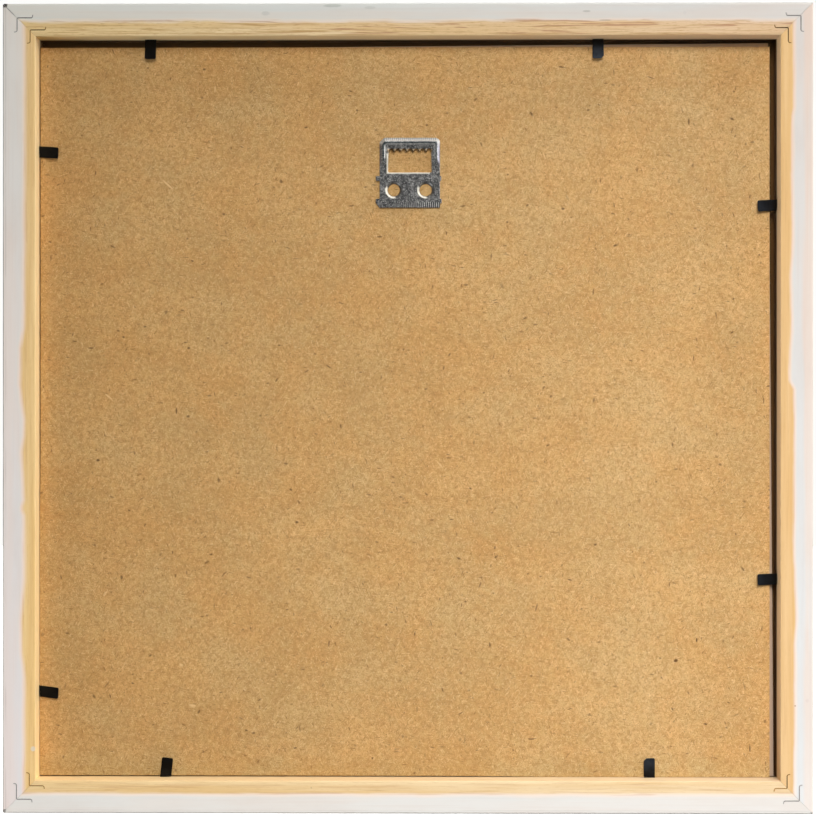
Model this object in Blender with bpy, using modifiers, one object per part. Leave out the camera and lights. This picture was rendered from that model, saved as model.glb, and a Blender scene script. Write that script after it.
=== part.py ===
# Square wooden picture frame, as it is seen and hung from behind.
# Metres, +Z up. The glass faces -Y and the back, which lies on the wall, faces +Y.
# The origin is the nail seat, the middle notch of the hanger's toothed edge.
# Pieces are laid out in a back view: x to the right, y up, z out of the back to the wall.
# Left and right are as seen from behind.
import math

import bmesh
import bpy
from mathutils import Vector

# The picture that the frame is made for, and the rebate that takes it
PICTURE_SIDE = 0.400
REBATE_PLAY = 0.0036
RECESS_DEPTH = 0.011
REST_GAP = 0.0003

# Moulding of the four rails
BACK_FACE_WIDTH = 0.0177
LIP_WIDTH = 0.006
LIP_DEPTH = 0.007
BACK_ARRIS = 0.0008
FRONT_ARRIS = 0.0016
LIP_ARRIS = 0.0010
MITRE_GAP = 0.0003

# Glass, mat, picture and backing board
GLASS_UNDERSIZE = 0.0010
GLASS_THICKNESS = 0.0020
MAT_UNDERSIZE = 0.0014
MAT_THICKNESS = 0.0015
MAT_BORDER = 0.060
MAT_BEVEL = 0.0011
MAT_TURN_SHARE = 0.6
MAT_DROP_SHARE = 0.1
SHEET_LAP = 0.010
SHEET_THICKNESS = 0.0003
BOARD_UNDERSIZE = 0.0010
BOARD_THICKNESS = 0.0030
BOARD_ARRIS = 0.0003
BOARD_BOTTOM_GAP = 0.0005
BOARD_LEFT_GAP = 0.0008

# V-shaped corner nails, driven across each mitre from behind
NAIL_THICKNESS = 0.0005
NAIL_DEPTH = 0.010
NAIL_LEG = 0.0075
NAIL_CURL_RADIUS = 0.0009
NAIL_CURL_DEG = 80.0
NAIL_HOOK = 0.0009
NAIL_SINK = 0.0002
NAIL_FIT = 0.0003
NAIL_INSET_SHARES = {"outer": 0.438, "inner": 0.825}

# Bendable steel tabs, shot into the rebate wall just above the board
TAB_WIDTH = 0.0061
TAB_THICKNESS = 0.0005
TAB_REACH = 0.0104
TAB_ROOT_LENGTH = 0.008
TAB_BEND_OFFSET = 0.0006
TAB_ROOT_LAP = 0.0003
TAB_TIP_CUT = 0.0006
TAB_WORN_CUT = 0.0016
TAB_RISE_DEG = 9.0
TAB_FIT = 0.0003

# Stamped hanger: a flat foot with two collared holes under a raised, toothed window
HANGER_DROP = 0.0558
HANGER_OFFSET = 0.0028
HANGER_WIDTH = 0.033
HANGER_TOP = 0.0052
HANGER_CHAMFER = 0.0025
HANGER_CORNER = 0.0027
PLATE_THICKNESS = 0.0009
ARM_WIDTH = 0.0045
TOOTH_RISE = 0.0018
RIDGE_RISE = 0.0024
RIDGE_START_SHARE = 0.31
RIDGE_END_SHARE = 0.38
RIDGE_FOOT_SHARE = 0.64
WINDOW_HEIGHT = 0.0137
WINDOW_CORNER = 0.0008
RAISED_END_SHARE = 0.55
FLAT_START_SHARE = 0.80
TOOTH_COUNT = 7
TOOTH_DEPTH = 0.0016
TOOTH_FLAT = 0.0008
NUB_HEIGHT = 0.0026
NUB_REACH = 0.0022
NUB_STUB = 0.0009
UPPER_NUB_BELOW_WINDOW = 0.0025
LOWER_NUB_ABOVE_END = 0.0036
HOLE_BELOW_WINDOW = 0.00885
HOLE_ABOVE_END = 0.00965
HOLE_MARGIN = 0.0078
COLLAR_INNER_RADIUS = 0.00335
COLLAR_WALL = 0.0005
COLLAR_DEPTH_SHARE = 0.63
COLLAR_POINT = 0.0003
COLLAR_FIT = 0.0003
DISH_WIDTH = 0.00135
DISH_LAP = 0.0004
DISH_SINK = 0.0001

# How finely round forms are drawn, and how far a cutter runs past what it cuts
ARC_STEPS = 4
TURN_STEPS = 32
OVERRUN = 0.002
WELD = 0.000001
SHARP_DEG = 35.0

# Sizes that follow from those above
opening_side = PICTURE_SIDE + REBATE_PLAY
frame_side = opening_side + 2 * BACK_FACE_WIDTH
opening_half = opening_side / 2
frame_half = frame_side / 2
board_back = -(REST_GAP + TOOTH_RISE + PLATE_THICKNESS / 2)
back_face = board_back + RECESS_DEPTH
board_front = board_back - BOARD_THICKNESS
sheet_back = board_front - REST_GAP
sheet_front = sheet_back - SHEET_THICKNESS
mat_back = sheet_front - REST_GAP
mat_front = mat_back - MAT_THICKNESS
glass_back = mat_front - REST_GAP
glass_front = glass_back - GLASS_THICKNESS
rebate_floor = glass_front - REST_GAP
front_face = rebate_floor - LIP_DEPTH
tab_height = board_back + REST_GAP + TAB_THICKNESS / 2
plate_back = board_back + REST_GAP
board_side = PICTURE_SIDE - BOARD_UNDERSIZE
board_x = board_side / 2 + BOARD_LEFT_GAP - opening_half
board_y = board_side / 2 + BOARD_BOTTOM_GAP - opening_half
seat_x = board_x + HANGER_OFFSET
seat_y = board_y + board_side / 2 - HANGER_DROP
mat_side = PICTURE_SIDE - MAT_UNDERSIZE
mat_play = opening_side - mat_side
mat_turn = math.asin(MAT_TURN_SHARE * mat_play / mat_side)
mat_drop = MAT_DROP_SHARE * mat_play
window_width = HANGER_WIDTH - 2 * ARM_WIDTH
ridge_start = RIDGE_START_SHARE * ARM_WIDTH
ridge_end = RIDGE_END_SHARE * ARM_WIDTH
ridge_foot = RIDGE_FOOT_SHARE * ARM_WIDTH
raised_end = RAISED_END_SHARE * WINDOW_HEIGHT
flat_start = FLAT_START_SHARE * WINDOW_HEIGHT
hole_drop = WINDOW_HEIGHT + HOLE_BELOW_WINDOW
hole_spacing = HANGER_WIDTH - 2 * HOLE_MARGIN
hanger_bottom = hole_drop + HOLE_ABOVE_END
dish_radius = COLLAR_INNER_RADIUS + DISH_WIDTH
collar_depth = COLLAR_DEPTH_SHARE * BOARD_THICKNESS

# Each tab's place along its wall as a share of the half opening, its lean in degrees
# and which of its two tip corners is clipped back further (0 for neither)
TAB_SHARES = {
    "right": ((0.550, -4.0, 0), (-0.462, -1.5, 0)),
    "top": ((0.697, 0.0, 0), (-0.516, 0.0, -1)),
    "left": ((-0.696, 5.0, 0), (0.768, 5.0, 0)),
    "bottom": ((-0.656, 7.0, 0), (0.655, -1.5, -1)),
}
SIDES = ("right", "top", "left", "bottom")
CORNERS = ("top_right", "top_left", "bottom_left", "bottom_right")


def clear_scene():
    for item in list(bpy.data.objects):
        bpy.data.objects.remove(item, do_unlink=True)


def make_collection(name):
    collection = bpy.data.collections.new(name)
    bpy.context.scene.collection.children.link(collection)
    return collection


clear_scene()
parts = make_collection("square_picture_frame")
cutters = make_collection("cutters")


def make_material(name, colour, roughness, metallic):
    material = bpy.data.materials.new(name)
    material.use_nodes = True
    shader = material.node_tree.nodes["Principled BSDF"]
    shader.inputs["Base Color"].default_value = (*colour, 1.0)
    shader.inputs["Roughness"].default_value = roughness
    shader.inputs["Metallic"].default_value = metallic
    return material


painted_wood = make_material("painted_wood", (0.76, 0.71, 0.67), 0.55, 0.0)
fibreboard = make_material("fibreboard", (0.58, 0.33, 0.13), 0.85, 0.0)
zinc_steel = make_material("zinc_steel", (0.33, 0.35, 0.38), 0.38, 1.0)
black_steel = make_material("black_steel", (0.012, 0.012, 0.013), 0.5, 0.4)
nail_steel = make_material("nail_steel", (0.25, 0.21, 0.18), 0.45, 0.9)
clear_glass = make_material("clear_glass", (0.92, 0.95, 0.94), 0.03, 0.0)
white_card = make_material("white_card", (0.80, 0.77, 0.72), 0.9, 0.0)
plain_paper = make_material("plain_paper", (0.74, 0.72, 0.69), 0.9, 0.0)


def make_empty(name, parent=None, location=(0, 0, 0), rotation=(0, 0, 0)):
    empty = bpy.data.objects.new(name, None)
    bpy.context.scene.collection.objects.link(empty)
    empty.parent = parent
    empty.location = location
    empty.rotation_euler = rotation
    return empty


def place(name, mesh, material, parent, location=(0, 0, 0), rotation=(0, 0, 0)):
    """Put a mesh in the model as a named piece with its own material."""
    piece = bpy.data.objects.new(name, mesh)
    parts.objects.link(piece)
    if material.name not in mesh.materials:
        mesh.materials.append(material)
    piece.parent = parent
    piece.location = location
    piece.rotation_euler = rotation
    return piece


def place_cutter(name, mesh, parent, location=(0, 0, 0), rotation=(0, 0, 0)):
    cutter = bpy.data.objects.new(name, mesh)
    cutters.objects.link(cutter)
    cutter.parent = parent
    cutter.location = location
    cutter.rotation_euler = rotation
    cutter.hide_render = True
    cutter.display_type = "WIRE"
    return cutter


def combine(piece, other, operation):
    boolean = piece.modifiers.new(other.name, "BOOLEAN")
    boolean.operation = operation
    boolean.solver = "EXACT"
    boolean.object = other


def thicken(piece, thickness, offset):
    solidify = piece.modifiers.new("thickness", "SOLIDIFY")
    solidify.thickness = thickness
    solidify.offset = offset
    solidify.use_even_offset = True


def smooth(mesh):
    mesh.shade_smooth()
    mesh.set_sharp_from_angle(angle=math.radians(SHARP_DEG))


def outline_mesh(name, points, half_height, closed=True):
    """A flat outline with a thickness, or an open line drawn out to a ribbon."""
    curve = bpy.data.curves.new(name, "CURVE")
    curve.dimensions = "2D"
    curve.fill_mode = "BOTH" if closed else "NONE"
    curve.extrude = half_height
    spline = curve.splines.new("POLY")
    spline.points.add(len(points) - 1)
    for target, (x, y) in zip(spline.points, points):
        target.co = (x, y, 0, 1)
    spline.use_cyclic_u = closed
    holder = bpy.data.objects.new(name, curve)
    bpy.context.scene.collection.objects.link(holder)
    depsgraph = bpy.context.evaluated_depsgraph_get()
    mesh = bpy.data.meshes.new_from_object(holder.evaluated_get(depsgraph))
    bpy.data.objects.remove(holder, do_unlink=True)
    bpy.data.curves.remove(curve)
    work = bmesh.new()
    work.from_mesh(mesh)
    bmesh.ops.remove_doubles(work, verts=work.verts, dist=WELD)
    bmesh.ops.recalc_face_normals(work, faces=work.faces)
    work.to_mesh(mesh)
    work.free()
    mesh.name = name
    smooth(mesh)
    return mesh


def block_mesh(name, width, height, depth):
    work = bmesh.new()
    bmesh.ops.create_cube(work, size=1.0)
    bmesh.ops.scale(work, vec=(width, height, depth), verts=work.verts)
    mesh = bpy.data.meshes.new(name)
    work.to_mesh(mesh)
    work.free()
    return mesh


def turned_mesh(name, profile):
    """A closed profile of radius and height, turned once about its own axis."""
    mesh = bpy.data.meshes.new(name)
    edges = [(i, (i + 1) % len(profile)) for i in range(len(profile))]
    mesh.from_pydata([(radius, 0, height) for radius, height in profile], edges, [])
    holder = bpy.data.objects.new(name, mesh)
    bpy.context.scene.collection.objects.link(holder)
    screw = holder.modifiers.new("turn", "SCREW")
    screw.axis = "Z"
    screw.steps = TURN_STEPS
    screw.render_steps = TURN_STEPS
    screw.use_merge_vertices = True
    screw.merge_threshold = WELD
    screw.use_normal_calculate = True
    depsgraph = bpy.context.evaluated_depsgraph_get()
    turned = bpy.data.meshes.new_from_object(holder.evaluated_get(depsgraph))
    bpy.data.objects.remove(holder, do_unlink=True)
    work = bmesh.new()
    work.from_mesh(turned)
    bmesh.ops.remove_doubles(work, verts=work.verts, dist=WELD)
    bmesh.ops.recalc_face_normals(work, faces=work.faces)
    work.to_mesh(turned)
    work.free()
    turned.name = name
    smooth(turned)
    return turned


def cone_mesh(name, lower_radius, upper_radius, height, sides):
    work = bmesh.new()
    bmesh.ops.create_cone(
        work,
        cap_ends=True,
        segments=sides,
        radius1=lower_radius,
        radius2=upper_radius,
        depth=height,
    )
    mesh = bpy.data.meshes.new(name)
    work.to_mesh(mesh)
    work.free()
    return mesh


def rounded_outline(corners):
    """Corners of x, y and radius, joined into one outline with each corner as an arc."""
    points = []
    for i, (x, y, radius) in enumerate(corners):
        corner = Vector((x, y))
        if radius <= 0:
            points.append((x, y))
            continue
        before = Vector(corners[i - 1][:2])
        after = Vector(corners[(i + 1) % len(corners)][:2])
        arriving = (corner - before).normalized()
        leaving = (after - corner).normalized()
        turn = math.atan2(arriving.cross(leaving), arriving.dot(leaving))
        side = math.copysign(1, turn)
        start = corner - arriving * radius * math.tan(abs(turn) / 2)
        inward = Vector((-arriving.y, arriving.x)) * side
        centre = start + inward * radius
        for step in range(ARC_STEPS + 1):
            angle = turn * step / ARC_STEPS
            spoke = -inward * radius
            points.append((
                centre.x + spoke.x * math.cos(angle) - spoke.y * math.sin(angle),
                centre.y + spoke.x * math.sin(angle) + spoke.y * math.cos(angle),
            ))
    return points


# The back view sits on the frame's centre line, and turns with each side and corner
back_view = make_empty(
    "back_view", location=(seat_x, 0, -seat_y), rotation=(math.pi / 2, 0, math.pi)
)
sides = {
    side: make_empty("side_" + side, back_view, rotation=(0, 0, turn * math.pi / 2))
    for turn, side in enumerate(SIDES)
}


def nail_path(extra):
    """One corner nail from hook to hook, its bend on the mitre, legs along both rails."""
    turn = math.radians(NAIL_CURL_DEG)
    leg = [(0.0, 0.0), (-NAIL_LEG, 0.0)]
    for step in range(1, ARC_STEPS + 1):
        angle = turn * step / ARC_STEPS
        leg.append((
            -NAIL_LEG - NAIL_CURL_RADIUS * math.sin(angle),
            NAIL_CURL_RADIUS * (1 - math.cos(angle)),
        ))
    hook = NAIL_HOOK + extra
    leg.append((leg[-1][0] - hook * math.cos(turn), leg[-1][1] + hook * math.sin(turn)))
    mirrored = [(y, x) for x, y in leg]
    return leg[:0:-1] + mirrored


def make_nails():
    """Two nails across each mitre, and the slots that both rails have for them."""
    nail = outline_mesh("corner_nail", nail_path(0), NAIL_DEPTH / 2, closed=False)
    slot_depth = NAIL_DEPTH + NAIL_SINK + NAIL_FIT + OVERRUN
    slot = outline_mesh("nail_slot", nail_path(NAIL_FIT), slot_depth / 2, closed=False)
    slots = {}
    for turn, corner in enumerate(CORNERS):
        for which, share in NAIL_INSET_SHARES.items():
            bend = frame_half - share * BACK_FACE_WIDTH
            spot = make_empty(
                f"nail_spot_{corner}_{which}", back_view, rotation=(0, 0, turn * math.pi / 2)
            )
            middle = back_face - NAIL_SINK - NAIL_DEPTH / 2
            piece = place(
                f"v_nail_{corner}_{which}", nail, nail_steel, spot, (bend, bend, middle)
            )
            thicken(piece, NAIL_THICKNESS, 0)
            slot_middle = back_face + OVERRUN - slot_depth / 2
            cutter = place_cutter(
                f"slot_{corner}_{which}", slot, spot, (bend, bend, slot_middle)
            )
            thicken(cutter, NAIL_THICKNESS + 2 * NAIL_FIT, 0)
            slots.setdefault(corner, []).append(cutter)
    return slots


def strip_outline(forward, width, start, length, lean_deg, tip_cuts):
    """Plan of a tab's strip: the root line runs along the wall, the tip square to the lean."""
    lean = math.radians(lean_deg)
    along = Vector((forward * math.cos(lean), -forward * math.sin(lean)))
    across = Vector((-along.y, along.x))
    points = []
    for side in (-1, 1):
        edge = across * side * width / 2
        root = edge + along * (start - edge.x) / along.x
        tip = edge + along * length
        cut_along, cut_across = tip_cuts[side]
        chain = [root, tip - along * cut_along, tip - across * side * cut_across]
        points += chain if side < 0 else reversed(chain)
    return [(point.x, point.y) for point in points]


def make_tabs():
    """Eight tabs: a root in the wood, and the blade that bends where it leaves the wall."""
    slots = {}
    for side, places in TAB_SHARES.items():
        for number, (share, lean, clipped) in enumerate(places, start=1):
            name = f"{side}_{number}"
            pivot = make_empty(
                "pivot_" + name,
                sides[side],
                (opening_half - TAB_BEND_OFFSET, share * opening_half, tab_height),
            )
            plain = (TAB_TIP_CUT, TAB_TIP_CUT)
            worn = (TAB_WORN_CUT, TAB_WORN_CUT)
            cuts = {end: worn if end == clipped else plain for end in (-1, 1)}
            blade = strip_outline(-1, TAB_WIDTH, TAB_ROOT_LAP, TAB_REACH, lean, cuts)
            blade_mesh = outline_mesh("tab_blade", blade, TAB_THICKNESS / 2)
            rise = math.radians(TAB_RISE_DEG)
            place("tab_blade_" + name, blade_mesh, black_steel, pivot, rotation=(0, rise, 0))

            point = (TAB_WIDTH / 2, TAB_WIDTH / 2 - TAB_THICKNESS / 2)
            spear = {-1: point, 1: point}
            root_end = TAB_BEND_OFFSET + TAB_ROOT_LENGTH
            root = strip_outline(1, TAB_WIDTH, TAB_BEND_OFFSET, root_end, lean, spear)
            root_mesh = outline_mesh("tab_root", root, TAB_THICKNESS / 2)
            place("tab_root_" + name, root_mesh, black_steel, pivot)

            square = {-1: (0, 0), 1: (0, 0)}
            slot_width = TAB_WIDTH + 2 * TAB_FIT
            slot = strip_outline(
                1, slot_width, TAB_BEND_OFFSET - OVERRUN, root_end + TAB_FIT, lean, square
            )
            slot_mesh = outline_mesh("tab_slot", slot, TAB_THICKNESS / 2 + TAB_FIT)
            slots.setdefault(side, []).append(place_cutter("slot_" + name, slot_mesh, pivot))
    return slots


def make_rails(nail_slots, tab_slots):
    """Four mitred lengths of one rebated moulding."""
    lip_edge = opening_half - LIP_WIDTH
    profile = rounded_outline([
        (lip_edge, front_face, LIP_ARRIS),
        (frame_half, front_face, FRONT_ARRIS),
        (frame_half, back_face, BACK_ARRIS),
        (opening_half, back_face, 0),
        (opening_half, rebate_floor, 0),
        (lip_edge, rebate_floor, 0),
    ])
    moulding = outline_mesh("moulding", profile, frame_half + OVERRUN)
    work = bmesh.new()
    work.from_mesh(moulding)
    setback = MITRE_GAP / math.sqrt(2)
    for end in (-1, 1):
        cut = bmesh.ops.bisect_plane(
            work,
            geom=[*work.verts, *work.edges, *work.faces],
            dist=WELD,
            plane_co=(setback, 0, 0),
            plane_no=(-1, 0, end),
            clear_outer=True,
        )
        edges = [item for item in cut["geom_cut"] if isinstance(item, bmesh.types.BMEdge)]
        bmesh.ops.edgeloop_fill(work, edges=edges)
    bmesh.ops.recalc_face_normals(work, faces=work.faces)
    work.to_mesh(moulding)
    work.free()
    for turn, side in enumerate(SIDES):
        rail = place(
            "rail_" + side, moulding, painted_wood, sides[side], rotation=(math.pi / 2, 0, 0)
        )
        for corner in (CORNERS[turn], CORNERS[turn - 1]):
            for slot in nail_slots[corner]:
                combine(rail, slot, "DIFFERENCE")
        for slot in tab_slots[side]:
            combine(rail, slot, "DIFFERENCE")


def collar_profile():
    """Section of a drawn collar: its dish laps into the plate, its rim stands in the board."""
    outer = COLLAR_INNER_RADIUS + COLLAR_WALL
    lap = dish_radius + DISH_LAP
    dish_top = REST_GAP + PLATE_THICKNESS - DISH_SINK
    dish_back = REST_GAP + DISH_SINK
    shoulder = outer + COLLAR_FIT + DISH_SINK
    return [
        (lap, dish_top),
        (lap, dish_back),
        (shoulder, dish_back),
        (outer, DISH_SINK),
        (outer, -collar_depth),
        (outer - COLLAR_WALL / 2, -collar_depth - COLLAR_POINT / 2),
        (COLLAR_INNER_RADIUS, -collar_depth + COLLAR_POINT),
        (COLLAR_INNER_RADIUS, REST_GAP),
        (dish_radius - DISH_SINK, dish_top),
    ]


def make_board(hanger_seat):
    """Backing board, low and to the left in its rebate, grooved where the collars bite."""
    mesh = block_mesh("backing_board", board_side, board_side, BOARD_THICKNESS)
    middle = (board_back + board_front) / 2
    board = place("backing_board", mesh, fibreboard, back_view, (board_x, board_y, middle))
    bevel = board.modifiers.new("arris", "BEVEL")
    bevel.width = BOARD_ARRIS
    bevel.segments = 1
    inner = COLLAR_INNER_RADIUS - COLLAR_FIT
    outer = COLLAR_INNER_RADIUS + COLLAR_WALL + COLLAR_FIT
    bottom = -collar_depth - COLLAR_POINT / 2 - COLLAR_FIT
    groove = turned_mesh(
        "collar_groove", [(outer, OVERRUN), (outer, bottom), (inner, bottom), (inner, OVERRUN)]
    )
    for number, side in enumerate((-1, 1), start=1):
        spot = (side * hole_spacing / 2, -hole_drop, board_back)
        combine(board, place_cutter(f"groove_{number}", groove, hanger_seat, spot), "DIFFERENCE")


def ridge_height(x, y):
    """How far the plate stands off its foot: a ridge round the window, a lower inner strip."""
    inset = min(HANGER_WIDTH / 2 - abs(x), HANGER_TOP - y)
    if inset <= ridge_start:
        height = RIDGE_RISE * max(inset, 0) / ridge_start
    elif inset <= ridge_end:
        height = RIDGE_RISE
    elif inset <= ridge_foot:
        share = (inset - ridge_end) / (ridge_foot - ridge_end)
        height = RIDGE_RISE + (TOOTH_RISE - RIDGE_RISE) * share
    else:
        height = TOOTH_RISE
    fade = (flat_start + y) / (flat_start - raised_end)
    return height * min(max(fade, 0), 1)


def pressed_sheet():
    """The plate's underside as a sheet, with a grid line along every fold."""
    half = HANGER_WIDTH / 2
    window = half - window_width / 2
    insets = [-NUB_REACH - OVERRUN, 0, ridge_start, ridge_end, ridge_foot, window]
    columns = [inset - half for inset in insets]
    columns += [0] + [-column for column in reversed(columns)]
    falls = [-OVERRUN, 0, ridge_start, ridge_end, ridge_foot]
    rows = [HANGER_TOP - fall for fall in falls]
    rows += [-TOOTH_DEPTH, -raised_end, -(raised_end + flat_start) / 2, -flat_start]
    rows += [-WINDOW_HEIGHT, -hole_drop, -hanger_bottom - OVERRUN]
    rows.reverse()
    work = bmesh.new()
    bmesh.ops.create_grid(
        work, x_segments=len(columns) - 1, y_segments=len(rows) - 1, size=1
    )
    for vertex in work.verts:
        column = round((vertex.co.x + 1) / 2 * (len(columns) - 1))
        row = round((vertex.co.y + 1) / 2 * (len(rows) - 1))
        x, y = columns[column], rows[row]
        vertex.co = (x, y, ridge_height(x, y))
    mesh = bpy.data.meshes.new("hanger_plate")
    work.to_mesh(mesh)
    work.free()
    return mesh


def plate_outline():
    """Outer edge of the plate, with the cut-off stubs of the strip it was stamped from."""
    half = HANGER_WIDTH / 2

    def stub(side, drop, reach, upward):
        lower, upper = -drop - NUB_HEIGHT / 2, -drop + NUB_HEIGHT / 2
        rise = [(half, lower), (half + reach, lower), (half + reach, upper), (half, upper)]
        chain = rise if upward else rise[::-1]
        return [(side * x, y, 0) for x, y in chain]

    upper_drop = WINDOW_HEIGHT + UPPER_NUB_BELOW_WINDOW
    lower_drop = hanger_bottom - LOWER_NUB_ABOVE_END
    lower_left = stub(-1, lower_drop, NUB_REACH, upward=False)
    return rounded_outline([
        (half, -hanger_bottom, 0),
        *stub(1, lower_drop, NUB_STUB, upward=True),
        *stub(1, upper_drop, NUB_STUB, upward=True),
        (half, HANGER_TOP, HANGER_CORNER),
        (-half + HANGER_CHAMFER, HANGER_TOP, 0),
        (-half, HANGER_TOP - HANGER_CHAMFER, 0),
        *stub(-1, upper_drop, NUB_REACH, upward=False),
        *lower_left[:3],
        (-half, -hanger_bottom, 0),
    ])


def window_outline():
    """The nail window: square below, with flat-bottomed notches along its upper edge."""
    half = window_width / 2
    pitch = window_width / TOOTH_COUNT
    corners = [
        (-half, -WINDOW_HEIGHT, WINDOW_CORNER),
        (half, -WINDOW_HEIGHT, WINDOW_CORNER),
    ]
    for i in range(TOOTH_COUNT - 1, -1, -1):
        notch = (i + 0.5) * pitch - half
        root = TOOTH_FLAT / 2
        tip = (pitch - TOOTH_FLAT) / 2
        corners += [
            (notch + tip, -TOOTH_DEPTH, 0),
            (notch + root, 0, 0),
            (notch - root, 0, 0),
            (notch - tip, -TOOTH_DEPTH, 0),
        ]
    return rounded_outline(corners)


def make_hanger(hanger_seat):
    """The pressed plate, trimmed to its outline, with its window and two drawn collars."""
    plate = place("hanger_plate", pressed_sheet(), zinc_steel, hanger_seat, (0, 0, plate_back))
    thicken(plate, PLATE_THICKNESS, 1)
    reach = RIDGE_RISE + PLATE_THICKNESS + OVERRUN
    trim = outline_mesh("plate_trim", plate_outline(), reach)
    combine(plate, place_cutter("plate_trim", trim, hanger_seat, (0, 0, plate_back)), "INTERSECT")
    window = outline_mesh("nail_window", window_outline(), reach)
    combine(
        plate, place_cutter("nail_window", window, hanger_seat, (0, 0, plate_back)), "DIFFERENCE"
    )
    bore = cone_mesh("collar_bore", dish_radius, dish_radius, 2 * reach, TURN_STEPS)
    collar = turned_mesh("collar", collar_profile())
    for number, side in enumerate((-1, 1), start=1):
        x = side * hole_spacing / 2
        hole = place_cutter(f"bore_{number}", bore, hanger_seat, (x, -hole_drop, plate_back))
        combine(plate, hole, "DIFFERENCE")
        ring = place_cutter(f"collar_{number}", collar, hanger_seat, (x, -hole_drop, board_back))
        combine(plate, ring, "UNION")


def make_front_stack():
    """What lies under the board: the picture sheet, the mat and the glass."""
    glass_side = PICTURE_SIDE - GLASS_UNDERSIZE
    glass = block_mesh("glass_pane", glass_side, glass_side, GLASS_THICKNESS)
    glass_middle = (
        0,
        glass_side / 2 + REST_GAP - opening_half,
        (glass_back + glass_front) / 2,
    )
    place("glass_pane", glass, clear_glass, back_view, glass_middle)

    window_side = mat_side - 2 * MAT_BORDER
    turn = (0, 0, mat_turn)
    middle = (0, -mat_drop, (mat_back + mat_front) / 2)
    card = block_mesh("mat_board", mat_side, mat_side, MAT_THICKNESS)
    mat = place("mat_board", card, white_card, back_view, middle, turn)
    cut_height = MAT_THICKNESS + 2 * OVERRUN
    flare = MAT_BEVEL * cut_height / MAT_THICKNESS
    opening = cone_mesh(
        "mat_window",
        (window_side + flare) / math.sqrt(2),
        (window_side - flare) / math.sqrt(2),
        cut_height,
        4,
    )
    quarter = (0, 0, mat_turn + math.pi / 4)
    combine(mat, place_cutter("mat_window", opening, back_view, middle, quarter), "DIFFERENCE")

    sheet_side = window_side + 2 * SHEET_LAP
    sheet = block_mesh("picture_sheet", sheet_side, sheet_side, SHEET_THICKNESS)
    place(
        "picture_sheet",
        sheet,
        plain_paper,
        back_view,
        (0, -mat_drop, (sheet_back + sheet_front) / 2),
        turn,
    )


make_rails(make_nails(), make_tabs())
seat = make_empty("hanger_seat", back_view, (seat_x, seat_y, 0))
make_board(seat)
make_hanger(seat)
make_front_stack()
bpy.context.view_layer.update()
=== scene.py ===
import math

import bmesh
import bpy
import numpy as np
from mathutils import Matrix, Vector
from mathutils.geometry import delaunay_2d_cdt


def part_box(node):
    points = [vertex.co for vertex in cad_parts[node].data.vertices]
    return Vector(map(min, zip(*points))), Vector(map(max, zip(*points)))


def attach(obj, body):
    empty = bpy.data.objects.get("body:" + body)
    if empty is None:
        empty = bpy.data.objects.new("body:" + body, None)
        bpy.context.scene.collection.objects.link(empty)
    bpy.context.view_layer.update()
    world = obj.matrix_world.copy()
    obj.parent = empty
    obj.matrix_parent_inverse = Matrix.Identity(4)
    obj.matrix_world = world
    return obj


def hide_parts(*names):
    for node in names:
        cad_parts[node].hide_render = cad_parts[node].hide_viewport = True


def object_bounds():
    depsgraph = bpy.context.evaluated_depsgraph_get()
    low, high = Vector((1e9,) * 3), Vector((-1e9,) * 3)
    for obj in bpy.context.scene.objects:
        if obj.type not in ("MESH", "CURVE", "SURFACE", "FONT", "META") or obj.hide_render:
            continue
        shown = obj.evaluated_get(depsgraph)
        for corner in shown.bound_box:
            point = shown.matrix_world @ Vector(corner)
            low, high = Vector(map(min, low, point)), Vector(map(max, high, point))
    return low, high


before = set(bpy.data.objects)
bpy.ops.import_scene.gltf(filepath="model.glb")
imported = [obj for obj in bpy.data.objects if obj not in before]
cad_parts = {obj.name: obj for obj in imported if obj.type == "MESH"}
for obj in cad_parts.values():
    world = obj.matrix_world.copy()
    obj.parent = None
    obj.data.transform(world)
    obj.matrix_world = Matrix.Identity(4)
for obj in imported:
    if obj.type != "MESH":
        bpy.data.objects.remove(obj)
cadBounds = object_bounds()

mm = 0.001
low, high = cadBounds
middle = (low + high) / 2
frameHalf = (high.x - low.x) / 2
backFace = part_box("rail_top")[1].y
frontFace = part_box("rail_top")[0].y
boardLow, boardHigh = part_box("backing_board")
glassLow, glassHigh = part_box("glass_pane")
sheetLow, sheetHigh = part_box("picture_sheet")
matLow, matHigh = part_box("mat_board")
quarterTurns = {"right": 0, "top": 1, "left": 2, "bottom": 3}

photo = {
    "side": 816,            # pixels across the photo's frame
    "centreX": 407.6,       # where the frame's centre lies in it
    "centreY": 408.1,
    "perMm": 1.846,         # pixels to a millimetre on the back face
    "distance": 0.98,       # camera to the back face
}


def backPoint(x, y):
    # pixel of the photo to millimetres in the back view, on the back face
    return (x - photo["centreX"]) / photo["perMm"], (photo["centreY"] - y) / photo["perMm"]


def fromBack(u, v, w):
    # back view to world: x falls as u grows, z follows v, y is w
    u, v, w = np.broadcast_arrays(u, v, w)
    return np.stack([middle.x - u, w, middle.z + v], axis=-1)


def onSide(side, out, along, w):
    # out is the way from the centre to that side, along runs a quarter turn further round
    turn = quarterTurns[side] * math.pi / 2
    c, s = round(math.cos(turn)), round(math.sin(turn))
    return fromBack(out * c - along * s, out * s + along * c, w)


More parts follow.
